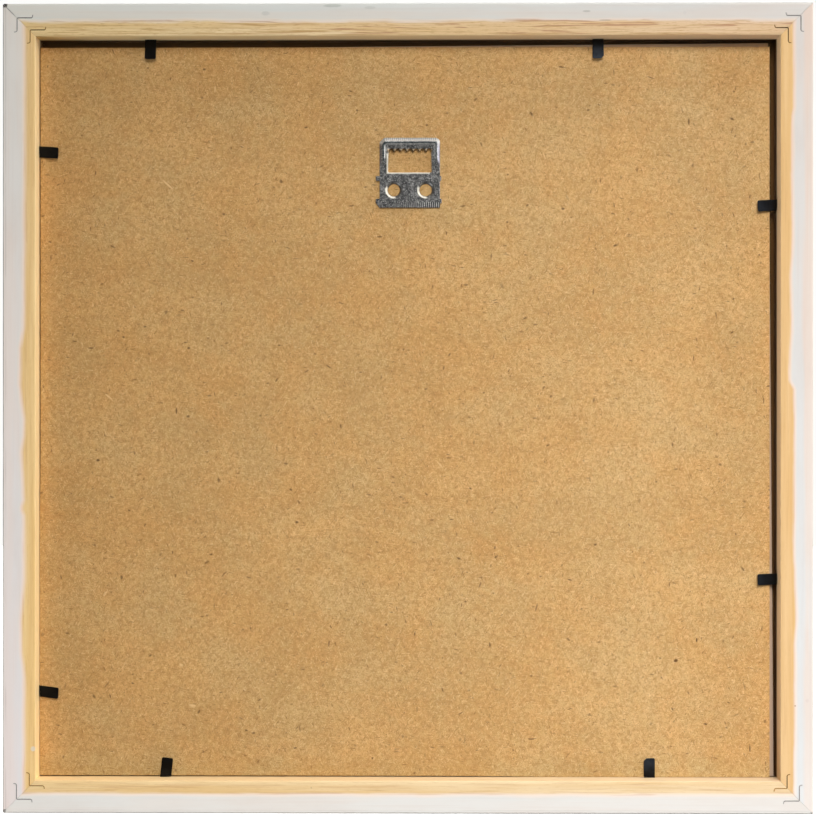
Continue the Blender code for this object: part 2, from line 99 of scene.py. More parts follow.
class Shell:
    # gathers points and faces of one closed surface, then puts them in a mesh
    def __init__(self):
        self.points, self.faces, self.count = [], [], 0

    def add(self, points):
        points = np.asarray(points, float)
        index = self.count + np.arange(points[..., 0].size).reshape(points.shape[:-1])
        self.points.append(points.reshape(-1, 3))
        self.count += index.size
        return index

    def lattice(self, index, wrapRows=False, wrapColumns=False):
        # four-sided faces between neighbouring rows and columns of an index grid
        if wrapRows:
            index = np.concatenate([index, index[:1]], axis=0)
        if wrapColumns:
            index = np.concatenate([index, index[:, :1]], axis=1)
        corners = [index[:-1, :-1], index[1:, :-1], index[1:, 1:], index[:-1, 1:]]
        self.faces += np.stack(corners, axis=-1).reshape(-1, 4).tolist()

    def polygon(self, loop):
        self.faces.append([int(i) for i in loop])

    def tube(self, index):
        # a lattice that is closed round its columns, with a flat end at its first and its last row
        self.lattice(index, wrapColumns=True)
        self.polygon(index[0])
        self.polygon(index[-1])

    def triangles(self, index):
        self.faces += np.asarray(index).tolist()

    def mesh(self, name, sharpDeg=40):
        made = bpy.data.meshes.new(name)
        made.from_pydata(np.concatenate(self.points).tolist(), [], self.faces)
        work = bmesh.new()
        work.from_mesh(made)
        bmesh.ops.recalc_face_normals(work, faces=work.faces)
        work.to_mesh(made)
        work.free()
        made.shade_smooth()
        made.set_sharp_from_angle(angle=math.radians(sharpDeg))
        return made


def addPiece(name, mesh, material, body, nodes):
    piece = bpy.data.objects.new(name, mesh)
    bpy.context.scene.collection.objects.link(piece)
    mesh.materials.clear()
    mesh.materials.append(material)
    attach(piece, body)
    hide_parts(*nodes)
    return piece


def carve(mesh, cutters, sharpDeg=40):
    # takes the cutters' volumes out of a mesh and returns what is left as a new mesh
    holder = bpy.data.objects.new("carving", mesh)
    tool = bpy.data.objects.new("tool", cutters)
    for item in (holder, tool):
        bpy.context.scene.collection.objects.link(item)
    cut = holder.modifiers.new("cut", "BOOLEAN")
    cut.operation, cut.solver, cut.object = "DIFFERENCE", "EXACT", tool
    depsgraph = bpy.context.evaluated_depsgraph_get()
    carved = bpy.data.meshes.new_from_object(holder.evaluated_get(depsgraph))
    carved.name = mesh.name
    for item in (holder, tool):
        bpy.data.objects.remove(item, do_unlink=True)
    carved.shade_smooth()
    carved.set_sharp_from_angle(angle=math.radians(sharpDeg))
    return carved


def roundedLoop(corners, step, arcSteps=6):
    # corners of x, y and radius, walked round with an arc at each and flats split to the step
    # gives the points and how far each one is on an arc, from 0 to 1
    corners = np.asarray(corners, float)
    arcs = []
    for i, (x, y, radius) in enumerate(corners):
        corner = np.array([x, y])
        arriving = corner - corners[i - 1, :2]
        leaving = corners[(i + 1) % len(corners), :2] - corner
        arriving, leaving = arriving / np.hypot(*arriving), leaving / np.hypot(*leaving)
        cross = arriving[0] * leaving[1] - arriving[1] * leaving[0]
        turn = math.atan2(cross, arriving @ leaving)
        if radius <= 0 or abs(turn) < 0.01:
            arcs.append(corner[None])
            continue
        reach = radius * math.tan(abs(turn) / 2)
        inward = np.array([-arriving[1], arriving[0]]) * math.copysign(1, turn)
        centre = corner - arriving * reach + inward * radius
        angle = turn * np.linspace(0, 1, arcSteps + 1)[:, None]
        sideways = np.array([inward[1], -inward[0]])
        arcs.append(centre + radius * (sideways * np.sin(angle) - inward * np.cos(angle)))
    points, onArc = [], []
    for i, arc in enumerate(arcs):
        points.append(arc)
        bell = np.sin(np.linspace(0.15, 0.85, len(arc)) * math.pi) if len(arc) > 1 else [1]
        onArc.append(np.asarray(bell, float))
        gap = arcs[(i + 1) % len(arcs)][0] - arc[-1]
        count = int(np.hypot(*gap) // step)
        if count:
            share = (np.arange(1, count + 1) / (count + 1))[:, None]
            points.append(arc[-1] + gap * share)
            onArc.append(np.zeros(count))
    return np.concatenate(points), np.concatenate(onArc)


def loopNormals(points):
    # unit normals to the right of the way a closed loop runs
    along = np.roll(points, -1, axis=0) - np.roll(points, 1, axis=0)
    along /= np.hypot(along[:, 0], along[:, 1])[:, None]
    return np.stack([along[:, 1], -along[:, 0]], axis=-1)


def ripple(t, seed, waves=7, shortest=0.02, longest=0.4):
    # smooth waviness from -1 to 1: sines of random length and phase, added up
    draw = np.random.default_rng(seed)
    length = np.exp(draw.uniform(math.log(shortest), math.log(longest), waves))
    phase = draw.uniform(0, 2 * math.pi, waves)
    weight = np.sqrt(length / longest)
    t = np.asarray(t, float)[..., None]
    return (np.sin(2 * math.pi * t / length + phase) * weight).sum(-1) / weight.sum()


def climb(value, start, end):
    # 0 up to the start, 1 from the end on and straight between; the start may be the larger one
    return np.clip((value - start) / (end - start), 0, 1)


class Nodes:
    # short ways to add nodes to the tree of a material or of the world
    def __init__(self, owner):
        owner.use_nodes = True
        self.owner, self.nodes, self.links = owner, owner.node_tree.nodes, owner.node_tree.links

    def put(self, socket, value):
        # another node's output is linked; a number, vector or colour is set on the socket itself
        if isinstance(value, bpy.types.NodeSocket):
            self.links.new(value, socket)
        else:
            socket.default_value = (*value, 1.0) if socket.type == "RGBA" else value

    def add(self, kind, inputs=None, output=0, **settings):
        made = self.nodes.new("ShaderNode" + kind)
        for key, value in settings.items():
            setattr(made, key, value)
        for key, value in (inputs or {}).items():
            self.put(made.inputs[key], value)
        return made.outputs[output]

    def math(self, operation, *values, clamp=False):
        return self.add("Math", dict(enumerate(values)), operation=operation, use_clamp=clamp)

    def plus(self, first, second):
        return self.math("ADD", first, second)

    def minus(self, first, second):
        return self.math("SUBTRACT", first, second)

    def times(self, first, *others):
        for other in others:
            first = self.math("MULTIPLY", first, other)
        return first

    def line(self, value, slope, base):
        # value x slope + base
        return self.math("MULTIPLY_ADD", value, slope, base)

    def stretch(self, value, low, high, newLow=0.0, newHigh=1.0, smooth=True):
        # brings low to newLow and high to newHigh, and holds them beyond
        inputs = {0: value, 1: low, 2: high, 3: newLow, 4: newHigh}
        return self.add("MapRange", inputs, interpolation_type="SMOOTHSTEP" if smooth else "LINEAR")

    def mix(self, share, first, second, blend="MIX"):
        return self.add("Mix", {0: share, 6: first, 7: second}, 2, data_type="RGBA", blend_type=blend)

    def tint(self, color, by):
        return self.mix(1.0, color, by, "MULTIPLY")

    def layers(self, color, rows, noise, paints, strength=1.0):
        # each row lays a named paint where a named noise climbs from low to high, up to a greatest share
        for name, low, high, most, paint in rows:
            share = self.stretch(noise[name], low, high, 0.0, most * strength)
            color = self.mix(share, color, paints[paint])
        return color

    def vector(self, operation, first, second=None, output=0):
        inputs = {0: first} if second is None else {0: first, 1: second}
        return self.add("VectorMath", inputs, output, operation=operation)

    def length(self, vector):
        return self.vector("LENGTH", vector, output=1)

    def split(self, vector):
        return tuple(self.add("SeparateXYZ", {0: vector}).node.outputs)

    def scaled(self, place, scale, shift=(0.0, 0.0, 0.0)):
        return self.add("Mapping", {"Vector": place, "Scale": scale, "Location": shift})

    def moved(self, place, shift):
        return self.scaled(place, (1.0, 1.0, 1.0), shift)

    def noise(self, place, scale, detail=2.0, roughness=0.5, distortion=0.0):
        inputs = {"Vector": place, "Scale": scale, "Detail": detail}
        return self.add("TexNoise", {**inputs, "Roughness": roughness, "Distortion": distortion})

    def cells(self, place, scale=1.0):
        # cells round scattered points: how far the point is, and a random number for each cell
        made = self.add("TexVoronoi", {"Vector": place, "Scale": scale}).node
        return made.outputs["Distance"], self.add("SeparateColor", {0: made.outputs["Color"]})

    def attribute(self, name):
        return self.add("Attribute", output=2, attribute_name=name)

    def finish(self, color, rough, bump=None, others=None):
        # sets the shader and gives the material; bump is a height, its strength and its distance
        sockets = {"Base Color": color, "Roughness": rough, **(others or {})}
        if bump:
            sockets["Normal"] = self.add("Bump", dict(zip(("Height", "Strength", "Distance"), bump)))
        for key, value in sockets.items():
            self.put(self.nodes["Principled BSDF"].inputs[key], value)
        return self.owner


def newFinish(name):
    # every finish is procedural, on Object coordinates
    m = Nodes(bpy.data.materials.new(name))
    m.spot = m.add("TexCoord", output=3)
    return m


# Rails: one rebated moulding, painted white, with bare wood round the rebate
rail = {
    "wall": 17.7 * mm,            # width of the back face
    "lip": 6.0 * mm,              # how far the front lip covers the glass
    "rebateFloor": glassLow.y - 0.3 * mm,
    "backArris": 0.8 * mm, "frontArris": 1.6 * mm, "innerArris": 0.25 * mm,
    "lipArris": 1.0 * mm, "lipInner": 0.3 * mm,
    "step": 1.6 * mm, "stations": 180,
    "wear": 0.10 * mm,            # how much the arrises are rubbed down
    "settle": 0.03 * mm,          # slow unevenness all round
    "mitreShut": 0.012 * mm,      # half the mitre's gap inside the wood
    "mitreOpen": 0.07 * mm,       # where it shows on the back
    "mitreDepth": 1.2 * mm,       # how deep that open line goes
    # a chip out of the arris at the rail's two ends, first where it starts in the anticlockwise way
    "chips": {"right": (0.10, 0.02), "top": (0.02, 0.75), "left": (0.45, 0.30), "bottom": (0.22, 0.10)},
    "chipFade": 0.7 * mm, "chipDepth": 2.5 * mm,      # how soon a chip ends inwards and downwards
}
openingHalf = frameHalf - rail["wall"]
railPaint = {
    # noises drawn out along the rail: scale along and across it, detail, roughness, distortion
    "noises": {
        "broad": (6.0, 190.0, 3.0, 0.55, 0.35), "fine": (34.0, 1350.0, 3.0, 0.62, 0.5),
        "lines": (26.0, 800.0, 2.0, 0.5, 0.8), "pores": (230.0, 2300.0, 2.0, 0.6),
        "cloud": (22.0, 90.0, 4.0, 0.6), "brush": (14.0, 900.0, 2.0, 0.5), "drift": (9.0, 95.0, 3.0, 0.55),
        "wander": (38.0, 120.0, 3.0, 0.6), "streak": (9.0, 700.0, 3.0, 0.6), "grime": (60.0, 60.0, 4.0, 0.65),
    },
    # inset from the outer edge where the white paint ends, for each rail, how softly and how unevenly
    "edge": {"right": 10.8 * mm, "top": 10.0 * mm, "left": 12.0 * mm, "bottom": 10.9 * mm},
    "soft": {"right": 1.0 * mm, "top": 0.9 * mm, "left": 1.5 * mm, "bottom": 1.0 * mm},
    "wander": {"right": 0.8 * mm, "top": 1.6 * mm, "left": 0.8 * mm, "bottom": 0.8 * mm},
    # photo pixels down the rail, and how many pixels further in or out the brush went there
    "laps": {
        "left": (
            (100, 0.4), (328, 0.0), (348, -3.7), (384, -4.4), (420, 0.0), (436, 0.0), (452, -2.4),
            (470, -1.5), (500, 0.5), (508, -2.2), (516, 0.5), (580, 0.4), (620, -3.0), (652, -2.6),
            (676, 0.0),
        ),
        "right": (
            (108, 0.0), (116, 1.6), (140, 2.1), (244, 1.7), (276, 3.7), (332, 2.2), (372, 4.8),
            (381, 4.7), (388, 0.6), (420, -0.5), (556, 0.0), (620, -2.2), (644, -0.8),
        ),
    },
    "lapSpan": 20,                # pixels from the foot of that curve to its top
    "grain": {"right": 0.16, "top": 1.0, "left": 0.22, "bottom": 0.34},      # how strongly it shows
    "white": (0.80, 0.765, 0.73), "whiteWarm": (0.75, 0.685, 0.635),
    "wood": (0.83, 0.575, 0.285), "woodDark": (0.60, 0.35, 0.13),
    "woodPale": (0.90, 0.68, 0.40), "woodRed": (0.55, 0.27, 0.13),
    # what lies over the wood and the white: the noise, from, to, how strongly, the paint
    "woodLayers": (
        ("fine", 0.50, 0.68, 0.95, "woodDark"), ("pores", 0.56, 0.70, 0.65, "woodDark"),
        ("lines", 0.58, 0.66, 0.80, "woodRed"),
    ),
    "whiteLayers": (("cloud", 0.42, 0.78, 0.55, "whiteWarm"), ("brush", 0.50, 0.76, 0.35, "whiteWarm")),
    # the rebate's wall, paler by a different amount on each rail as painted light, and the painted shade that
    # starts so far below the back and grows so strong
    "wall": {
        "right": (0.97, 0.85, 0.64), "top": (0.90, 0.71, 0.42),
        "left": (0.95, 0.78, 0.52), "bottom": (0.80, 0.60, 0.36),
    },
    "wallLightShare": 0.75,
    # foot: the colour of the painted shade down the wall and on the ledge
    "foot": (0.115, 0.050, 0.007),
    "footShadeFrom": {"right": 9.0 * mm, "top": 9.9 * mm, "left": 8.5 * mm, "bottom": 10.0 * mm},
    "footShadeRun": 4.5 * mm,
    "footShadeShare": {"right": 0.95, "top": 0.98, "left": 0.20, "bottom": 0.82},
    "ledgeShadeFrom": (11.5 * mm, 14.5 * mm), "ledgeShadeShare": 0.98,
    # slow drift of the white, and how much rosier its outer strip is
    "cool": (0.985, 1.035, 1.07), "rosy": (1.055, 0.985, 0.94),
    "drift": {"right": 1.0, "top": 0.55, "left": 0.50, "bottom": 0.30},
    "band": {"right": 0.16, "top": -0.10, "left": 0.05, "bottom": 0.0},
    "bandAt": (3.0 * mm, 6.5 * mm),
    "blush": (0.96, 0.78, 0.66), "blushShare": 0.75, "blushFrom": (-2.4 * mm, -0.4 * mm),
    "spot": (0.045, 0.038, 0.03),
    # small marks: along the rail and in from its outer edge in mm, radius, how long, strength, colour
    "marks": {
        "left": [(184.7, 16.6, 1.7, 1.0, 0.75, (0.86, 0.76, 0.66))],
        "right": [
            (-158.1, 3.4, 1.4, 1.0, 0.30, (0.62, 0.52, 0.50)),
            (-160.8, 9.9, 0.6, 1.0, 0.7, (0.42, 0.25, 0.13)),
        ],
        "bottom": [(-52.0, 14.0, 0.5, 1.0, 0.5, (0.50, 0.33, 0.18))],
        "top": [
            (-150.0, 5.6, 1.2, 1.0, 0.22, (0.55, 0.52, 0.50)),
            (40.5, 1.5, 1.1, 5.0, 0.50, (0.40, 0.43, 0.38)),
            (76.8, 5.6, 1.5, 2.0, 0.30, (0.45, 0.46, 0.42)),
            (-97.0, 4.7, 0.7, 4.0, 0.45, (0.36, 0.34, 0.30)),
            (20.0, 2.6, 0.9, 4.0, 0.30, (0.45, 0.46, 0.42)),
            (-107.0, 9.6, 0.5, 8.0, 0.45, (0.36, 0.26, 0.18)),
        ],
    },
    # grime and painted shade on the arris and on a thin line beside it, which fades out down the outer side;
    # the shade is strongest on the left and lower rails, which face away from the light
    "grime": (0.22, 0.195, 0.18),
    "arrisGrimeAndShade": {"right": 0.04, "top": 0.10, "left": 0.80, "bottom": 0.45},
    "arrisBand": (0.25 * mm, 0.90 * mm),
    "ridgeAt": 1.75 * mm, "ridgeHalf": (0.05 * mm, 0.30 * mm),
    "sideFade": (4.0 * mm, 1.2 * mm), "sideShare": 0.12,
    # mitres that stand open, by the rail and the end that shows it, and the worn spot at each corner
    "cracks": {("top", 1): 0.55, ("left", -1): 0.55},
    "crackHalf": (0.15 * mm, 0.55 * mm), "crackFade": (5.0 * mm, 8.0 * mm),
    "cornerIn": 1.0 * mm, "cornerSpot": 2.2 * mm,
    # painted light: each rail's white and wood are tinted lighter or darker along it, as the light falls
    # across the frame: where it starts, anticlockwise, and ends
    "whiteLightTint": {
        "right": ((0.912, 0.938, 0.969), (0.868, 0.804, 0.771)),
        "top": ((0.828, 0.836, 0.846), (1.000, 1.043, 1.012)),
        "left": ((1.096, 1.076, 1.036), (1.146, 1.105, 1.144)),
        "bottom": ((1.139, 1.148, 1.140), (0.925, 0.940, 0.950)),
    },
    "woodLightTint": {
        "right": ((0.855, 0.752, 0.632), (0.920, 0.849, 0.742)),
        "top": ((0.845, 0.828, 0.958), (1.011, 1.051, 0.971)),
        "left": ((1.044, 1.006, 0.868), (1.136, 1.067, 0.845)),
        "bottom": ((1.074, 1.042, 0.905), (0.922, 0.977, 1.127)),
    },
}


def lapsAlong(m, along, side):
    # a curve over the way down the rail: straight lines between the laps' places
    ends = (0.0, 1.0) if side == "left" else (1.0, 0.0)
    down = m.stretch(along, -frameHalf, frameHalf, *ends, smooth=False)
    made = m.add("FloatCurve", {"Value": down}).node
    curve, span = made.mapping.curves[0], railPaint["lapSpan"]
    knots = [(0.0, 0.0)]
    for y, shift in railPaint["laps"][side]:
        knots.append((-backPoint(0, y)[1] * mm / (2 * frameHalf) + 0.5, shift))
    knots.append((1.0, 0.0))
    while len(curve.points) < len(knots):
        curve.points.new(0.5, 0.5)
    for point, (x, shift) in zip(curve.points, knots):
        point.location = (x, 0.5 + shift / span)
        point.handle_type = "VECTOR"
    made.mapping.update()
    return m.line(made.outputs[0], span / photo["perMm"] * mm, -span / 2 / photo["perMm"] * mm)


def railMaterial(side):
    # local place: x along the rail, y the depth, z out from the frame's centre
    m, order = newFinish("paintedWood" + side.capitalize()), quarterTurns[side]
    own = {key: each[side] for key, each in railPaint.items() if isinstance(each, dict) and side in each}
    centred = m.vector("SUBTRACT", m.spot, (middle.x, 0.0, middle.z))
    turn = {"top": 0.0, "right": 0.5, "bottom": 1.0, "left": -0.5}[side] * math.pi
    local = m.add("Mapping", {"Vector": centred, "Rotation": (0.0, turn, 0.0)})
    along, depth, out = m.split(local)
    inset = m.minus(frameHalf, out)

    # bare wood: long fibres at three widths, and fine pores
    shift = (order * 3.7, order * 1.9, order * 2.3)
    noise = {
        name: m.noise(m.scaled(local, (long, wide, wide), shift), 1.0, *others)
        for name, (long, wide, *others) in railPaint["noises"].items()
    }
    fine, grime, grain = noise["fine"], noise["grime"], own["grain"]
    wood = m.mix(m.stretch(noise["broad"], 0.33, 0.68), railPaint["woodPale"], railPaint["wood"])
    wood = m.layers(wood, railPaint["woodLayers"], noise, railPaint, grain)

    # the rebate's wall is paler bare wood, made paler on each rail by its own amount as painted light, and
    # darker towards its foot and on the ledge as painted shade
    wall = m.stretch(inset, rail["wall"] - 0.25 * mm, rail["wall"] - 0.05 * mm)
    wood = m.mix(m.times(wall, railPaint["wallLightShare"]), wood, own["wall"])
    shadeLine = m.line(fine, 3.0 * mm, -1.5 * mm)
    sunk = m.minus(backFace, m.plus(depth, shadeLine))
    # foot: how much painted shade lies on the wall at this depth
    foot = m.times(wall, m.stretch(sunk, own["footShadeFrom"], own["footShadeFrom"] + railPaint["footShadeRun"]))
    share = m.stretch(sunk, *railPaint["ledgeShadeFrom"], own["footShadeShare"], railPaint["ledgeShadeShare"])
    wood = m.mix(m.times(foot, share), wood, railPaint["foot"])
    # painted light: a ramp along the rail for the tints of the light falling across the frame
    lightRamp = m.stretch(along, -frameHalf, frameHalf, smooth=False)
    wood = m.tint(wood, m.mix(lightRamp, *own["woodLightTint"]))

    # paint: thin on the planed back, so the grain and a warm stain come through in places
    white = m.layers(railPaint["white"], railPaint["whiteLayers"], noise, railPaint)
    band = m.stretch(inset, *railPaint["bandAt"], own["band"], -own["band"])
    drift = m.stretch(m.plus(noise["drift"], band), 0.34, 0.66)
    drift = m.mix(drift, railPaint["cool"], railPaint["rosy"])
    white = m.mix(own["drift"], white, m.tint(white, drift))

    # where the paint ends on the back face: a soft, uneven line
    swing, soft = own["wander"], own["soft"]
    edge = m.line(noise["wander"], 2 * swing, own["edge"] - swing)
    edge = m.line(noise["streak"], 1.4 * swing, m.minus(edge, 0.7 * swing))
    if "laps" in own:
        edge = m.plus(edge, lapsAlong(m, along, side))
    past = m.minus(inset, edge)
    # on the back alone, a rosy haze where the paint thins out, over darker open grain
    back = m.stretch(depth, rail["rebateFloor"] - 0.6 * mm, rail["rebateFloor"] - 0.1 * mm)
    haze = m.stretch(past, *railPaint["blushFrom"])
    haze = m.times(haze, m.stretch(past, 0.2 * soft, soft, 1.0, 0.0), back)
    white = m.mix(m.times(haze, railPaint["blushShare"]), white, railPaint["blush"])
    opened = m.times(m.stretch(noise["lines"], 0.54, 0.64), m.stretch(past, -1.8 * soft, 0.2 * soft), back)
    white = m.mix(m.times(opened, 0.8 * grain), white, railPaint["woodRed"])
    # painted light on the white, along the rail
    white = m.tint(white, m.mix(lightRamp, *own["whiteLightTint"]))
    bare = m.times(m.stretch(past, -soft, soft), back)
    color = m.mix(bare, white, wood)

    # grime and painted shade on the arrises, and knocks by the mitres, fade out down the outer sides
    fadeFrom, fadeTo = railPaint["sideFade"]
    reach = m.stretch(depth, backFace - fadeFrom, backFace - fadeTo, railPaint["sideShare"], 1.0)
    # painted shade: how dark this rail's arris is painted, most where it faces away from the light
    worn = own["arrisGrimeAndShade"]
    atEdge = m.stretch(inset, *railPaint["arrisBand"], 1.0, 0.0)
    grimeAndShade = m.times(atEdge, m.stretch(grime, 0.35, 0.65, 0.7 * worn, worn))
    ridge = m.math("ABSOLUTE", m.minus(inset, railPaint["ridgeAt"]))
    ridge = m.stretch(ridge, *railPaint["ridgeHalf"], 0.30 * worn, 0.0)
    ridge = m.times(ridge, m.stretch(noise["cloud"], 0.40, 0.60))
    grimeAndShade = m.times(m.math("MAXIMUM", grimeAndShade, ridge), reach)
    color = m.mix(grimeAndShade, color, railPaint["grime"])

    def mark(color, x, z, radius, long, strength, paint):
        # a soft-edged spot round a place on the back face, in the rail's own coordinates
        way = m.vector("MULTIPLY", m.vector("SUBTRACT", local, (x, 0.0, z)), (1.0 / long, 0.0, 1.0))
        away = m.line(grime, radius, m.minus(m.length(way), radius * 0.5))
        spotted = m.times(m.stretch(away, radius * 0.55, radius, strength, 0.0), reach)
        return m.mix(spotted, color, paint)

    corner = frameHalf - railPaint["cornerIn"]
    for end, chip in zip((-1, 1), rail["chips"][side]):
        if (side, end) in railPaint["cracks"]:
            gap = m.minus(out, m.times(along, end))
            gap = m.stretch(gap, *railPaint["crackHalf"], railPaint["cracks"][side, end], 0.0)
            gap = m.times(gap, m.stretch(inset, *railPaint["crackFade"], 1.0, 0.0))
            color = m.mix(gap, color, railPaint["spot"])
        radius, strength = railPaint["cornerSpot"] * math.sqrt(chip), min(1.0, 0.4 + chip)
        color = mark(color, end * corner, corner, radius, 1.0, strength, railPaint["spot"])
    for place, inward, radius, long, strength, paint in own["marks"]:
        color = mark(color, place * mm, frameHalf - inward * mm, radius * mm, long, strength, paint)

    relief = m.line(fine, 0.6, m.times(noise["pores"], 0.4))
    painted = m.line(noise["brush"], 0.5, m.times(grime, 0.5))
    height = m.plus(m.times(relief, bare), m.times(painted, m.minus(1.0, bare)))
    rough = m.line(grime, 0.2, m.line(bare, 0.12, 0.42))
    return m.finish(color, rough, (height, 0.35, 0.15 * mm))


def railMesh(side):
    # profile of the moulding carried from mitre to mitre: a point that is out from the
    # centre by r reaches r along the rail each way, less the mitre's gap
    corners = [
        (openingHalf - rail["lip"], frontFace, rail["lipArris"]),
        (frameHalf, frontFace, rail["frontArris"]),
        (frameHalf, backFace, rail["backArris"]),
        (openingHalf, backFace, rail["innerArris"]),
        (openingHalf, rail["rebateFloor"], 0),
        (openingHalf - rail["lip"], rail["rebateFloor"], rail["lipInner"]),
    ]
    loop, onArc = roundedLoop(corners, rail["step"], 8)
    normal = loopNormals(loop)
    t = np.linspace(-1, 1, rail["stations"])[:, None]
    order = quarterTurns[side]
    around = np.linspace(0, 1, len(loop), endpoint=False)
    rub = 0.5 + 0.5 * ripple(t + 0.35 * around, 40 + order)
    settle = 0.5 + 0.5 * ripple(t + 1.7 * around, 60 + order, shortest=0.2, longest=1.2)
    depth = rail["wear"] * onArc * rub + rail["settle"] * settle
    out = loop[:, 0] - normal[:, 0] * depth
    w = loop[:, 1] - normal[:, 1] * depth
    shallow = np.clip(1 - (backFace - loop[:, 1]) / rail["mitreDepth"], 0, 1)
    gap = rail["mitreShut"] + (rail["mitreOpen"] - rail["mitreShut"]) * shallow
    first, last = rail["chips"][side]
    chip = np.where(t < 0, first, last) * mm * np.exp(-(frameHalf - loop[:, 0]) / rail["chipFade"])
    chip = chip * np.clip(1 - (backFace - loop[:, 1]) / rail["chipDepth"], 0, 1)
    along = t * (out - gap - chip)
    shell = Shell()
    shell.tube(shell.add(onSide(side, out, along, w)))
    return shell.mesh("railSurface" + side.capitalize())


# Corner nails: V-shaped strips with curled ends, driven across each mitre
nails = {
    "thickness": 0.5 * mm, "depth": 10 * mm,
    "sink": 0.07 * mm,            # below the back face
    "bend": 0.5 * mm, "curl": 0.9 * mm, "curlDeg": 80, "hook": 0.9 * mm,
    "round": 0.1 * mm,            # of the top edges
    "slotPlay": 0.03 * mm, "slotDeeper": 0.3 * mm,
    # pale, dark, metallic and shine: in the paint, and in bare wood; the dark is laid as painted shade on the
    # legs and in specks
    "painted": ((0.56, 0.53, 0.51), (0.10, 0.085, 0.075), 0.2, 0.2),
    "bare": ((0.56, 0.29, 0.085), (0.052, 0.018, 0.003), 0.0, 0.03),
    # photo pixels: the bend, then where the level leg and the upright leg end
    "marks": {
        "top_left_outer": (16.9, 17.3, 30.8, 29.6),
        "top_left_inner": (30.0, 29.4, 43.8, 40.8),
        "top_right_outer": (800.3, 16.2, 787.3, 30.3),
        "top_right_inner": (787.7, 28.3, 776.0, 41.6),
        "bottom_left_outer": (16.3, 799.5, 30.0, 785.6),
        "bottom_left_inner": (29.2, 786.0, 42.3, 774.8),
        "bottom_right_outer": (798.7, 800.0, 784.8, 786.0),
        "bottom_right_inner": (786.5, 787.5, 775.4, 775.4),
    },
    # painted shade: how dark the level leg and the upright leg are painted, by how the light falls into each
    # one's slot
    "legShades": {
        "top_left_outer": (0.85, 0.45), "top_left_inner": (0.80, 0.35),
        "top_right_outer": (0.70, 0.80), "top_right_inner": (0.95, 0.95),
        "bottom_left_outer": (0.55, 0.50), "bottom_left_inner": (0.45, 0.25),
        "bottom_right_outer": (0.60, 0.50), "bottom_right_inner": (0.25, 0.85),
    },
}


def nailPath(mark):
    # centre line in the back view: curl, leg, rounded bend, leg, curl, all outward
    x, y, levelEnd, uprightEnd = mark
    u, v = np.array(backPoint(x, y)) * mm
    outU, outV = math.copysign(1, u), math.copysign(1, v)
    level = abs(x - levelEnd) / photo["perMm"] * mm
    upright = abs(y - uprightEnd) / photo["perMm"] * mm
    turn = np.linspace(0, math.radians(nails["curlDeg"]), 7)[1:]
    hook = nails["hook"] * np.array([math.cos(turn[-1]), math.sin(turn[-1])])

    def leg(length):
        # along the leg is first, outward is second
        curl = nails["curl"] * np.stack([np.sin(turn), 1 - np.cos(turn)], -1) + (length, 0)
        straight = np.linspace(nails["bend"], length, 24)
        return np.concatenate([np.stack([straight, 0 * straight], -1), curl, curl[-1:] + hook])

    first, second = leg(level), leg(upright)
    quarter = np.linspace(0, math.pi / 2, 6)[1:-1]
    bend = nails["bend"] * np.stack([1 - np.sin(quarter), 1 - np.cos(quarter)], -1)
    levelSide = np.stack([u - outU * first[:, 0], v + outV * first[:, 1]], -1)
    uprightSide = np.stack([u + outU * second[:, 1], v - outV * second[:, 0]], -1)
    corner = np.stack([u - outU * bend[:, 0], v - outV * bend[:, 1]], -1)
    return np.concatenate([levelSide[::-1], corner, uprightSide])


def ribbon(shell, path, section):
    # a closed section of sideways offset and height, carried along an open path in the plan
    along = np.gradient(path, axis=0)
    along /= np.hypot(along[:, 0], along[:, 1])[:, None]
    side = np.stack([along[:, 1], -along[:, 0]], -1)
    plan = path[:, None] + side[:, None] * section[None, :, :1]
    shell.tube(shell.add(fromBack(plan[..., 0], plan[..., 1], section[None, :, 1])))


def spread(mesh, name, values):
    # one number for every vertex, which the material reads as a named attribute
    made = mesh.attributes.new(name, "FLOAT", "POINT")
    made.data.foreach_set("value", np.asarray(values, np.float32).ravel())


def nailMesh(name, mark, legShades):
    half, top = nails["thickness"] / 2, backFace - nails["sink"]
    bottom = top - nails["depth"]
    r = nails["round"]
    corners = [(-half, bottom, 0), (half, bottom, 0), (half, top, r), (-half, top, r)]
    section, _ = roundedLoop(corners, 2.5 * mm, 3)
    shell = Shell()
    path = nailPath(mark)
    ribbon(shell, path, section)
    mesh = shell.mesh(name)
    # the painted shade runs from one leg's to the other's over the bend, and pales on the curls
    level, upright = legShades
    share = np.linspace(0, 1, len(path))
    legShade = level + (upright - level) * climb(share, 0.46, 0.54)
    legShade = legShade * (0.45 + 0.55 * climb(np.minimum(share, 1 - share), 0, 0.12))
    spread(mesh, "legShade", np.repeat(legShade, len(section)))
    return mesh


def slotMesh(names):
    half = nails["thickness"] / 2 + nails["slotPlay"]
    top, bottom = backFace + 2 * mm, backFace - nails["sink"] - nails["depth"] - nails["slotDeeper"]
    section = np.array([(-half, bottom), (half, bottom), (half, top), (-half, top)])
    shell = Shell()
    for name in names:
        # each end reaches a little past its hook
        path = nailPath(nails["marks"][name])
        first, last = path[0] - path[1], path[-1] - path[-2]
        play = nails["slotPlay"] * 2
        path = np.concatenate([
            path[:1] + first / np.hypot(*first) * play, path, path[-1:] + last / np.hypot(*last) * play,
        ])
        ribbon(shell, path, section)
    return shell.mesh("nailSlots")


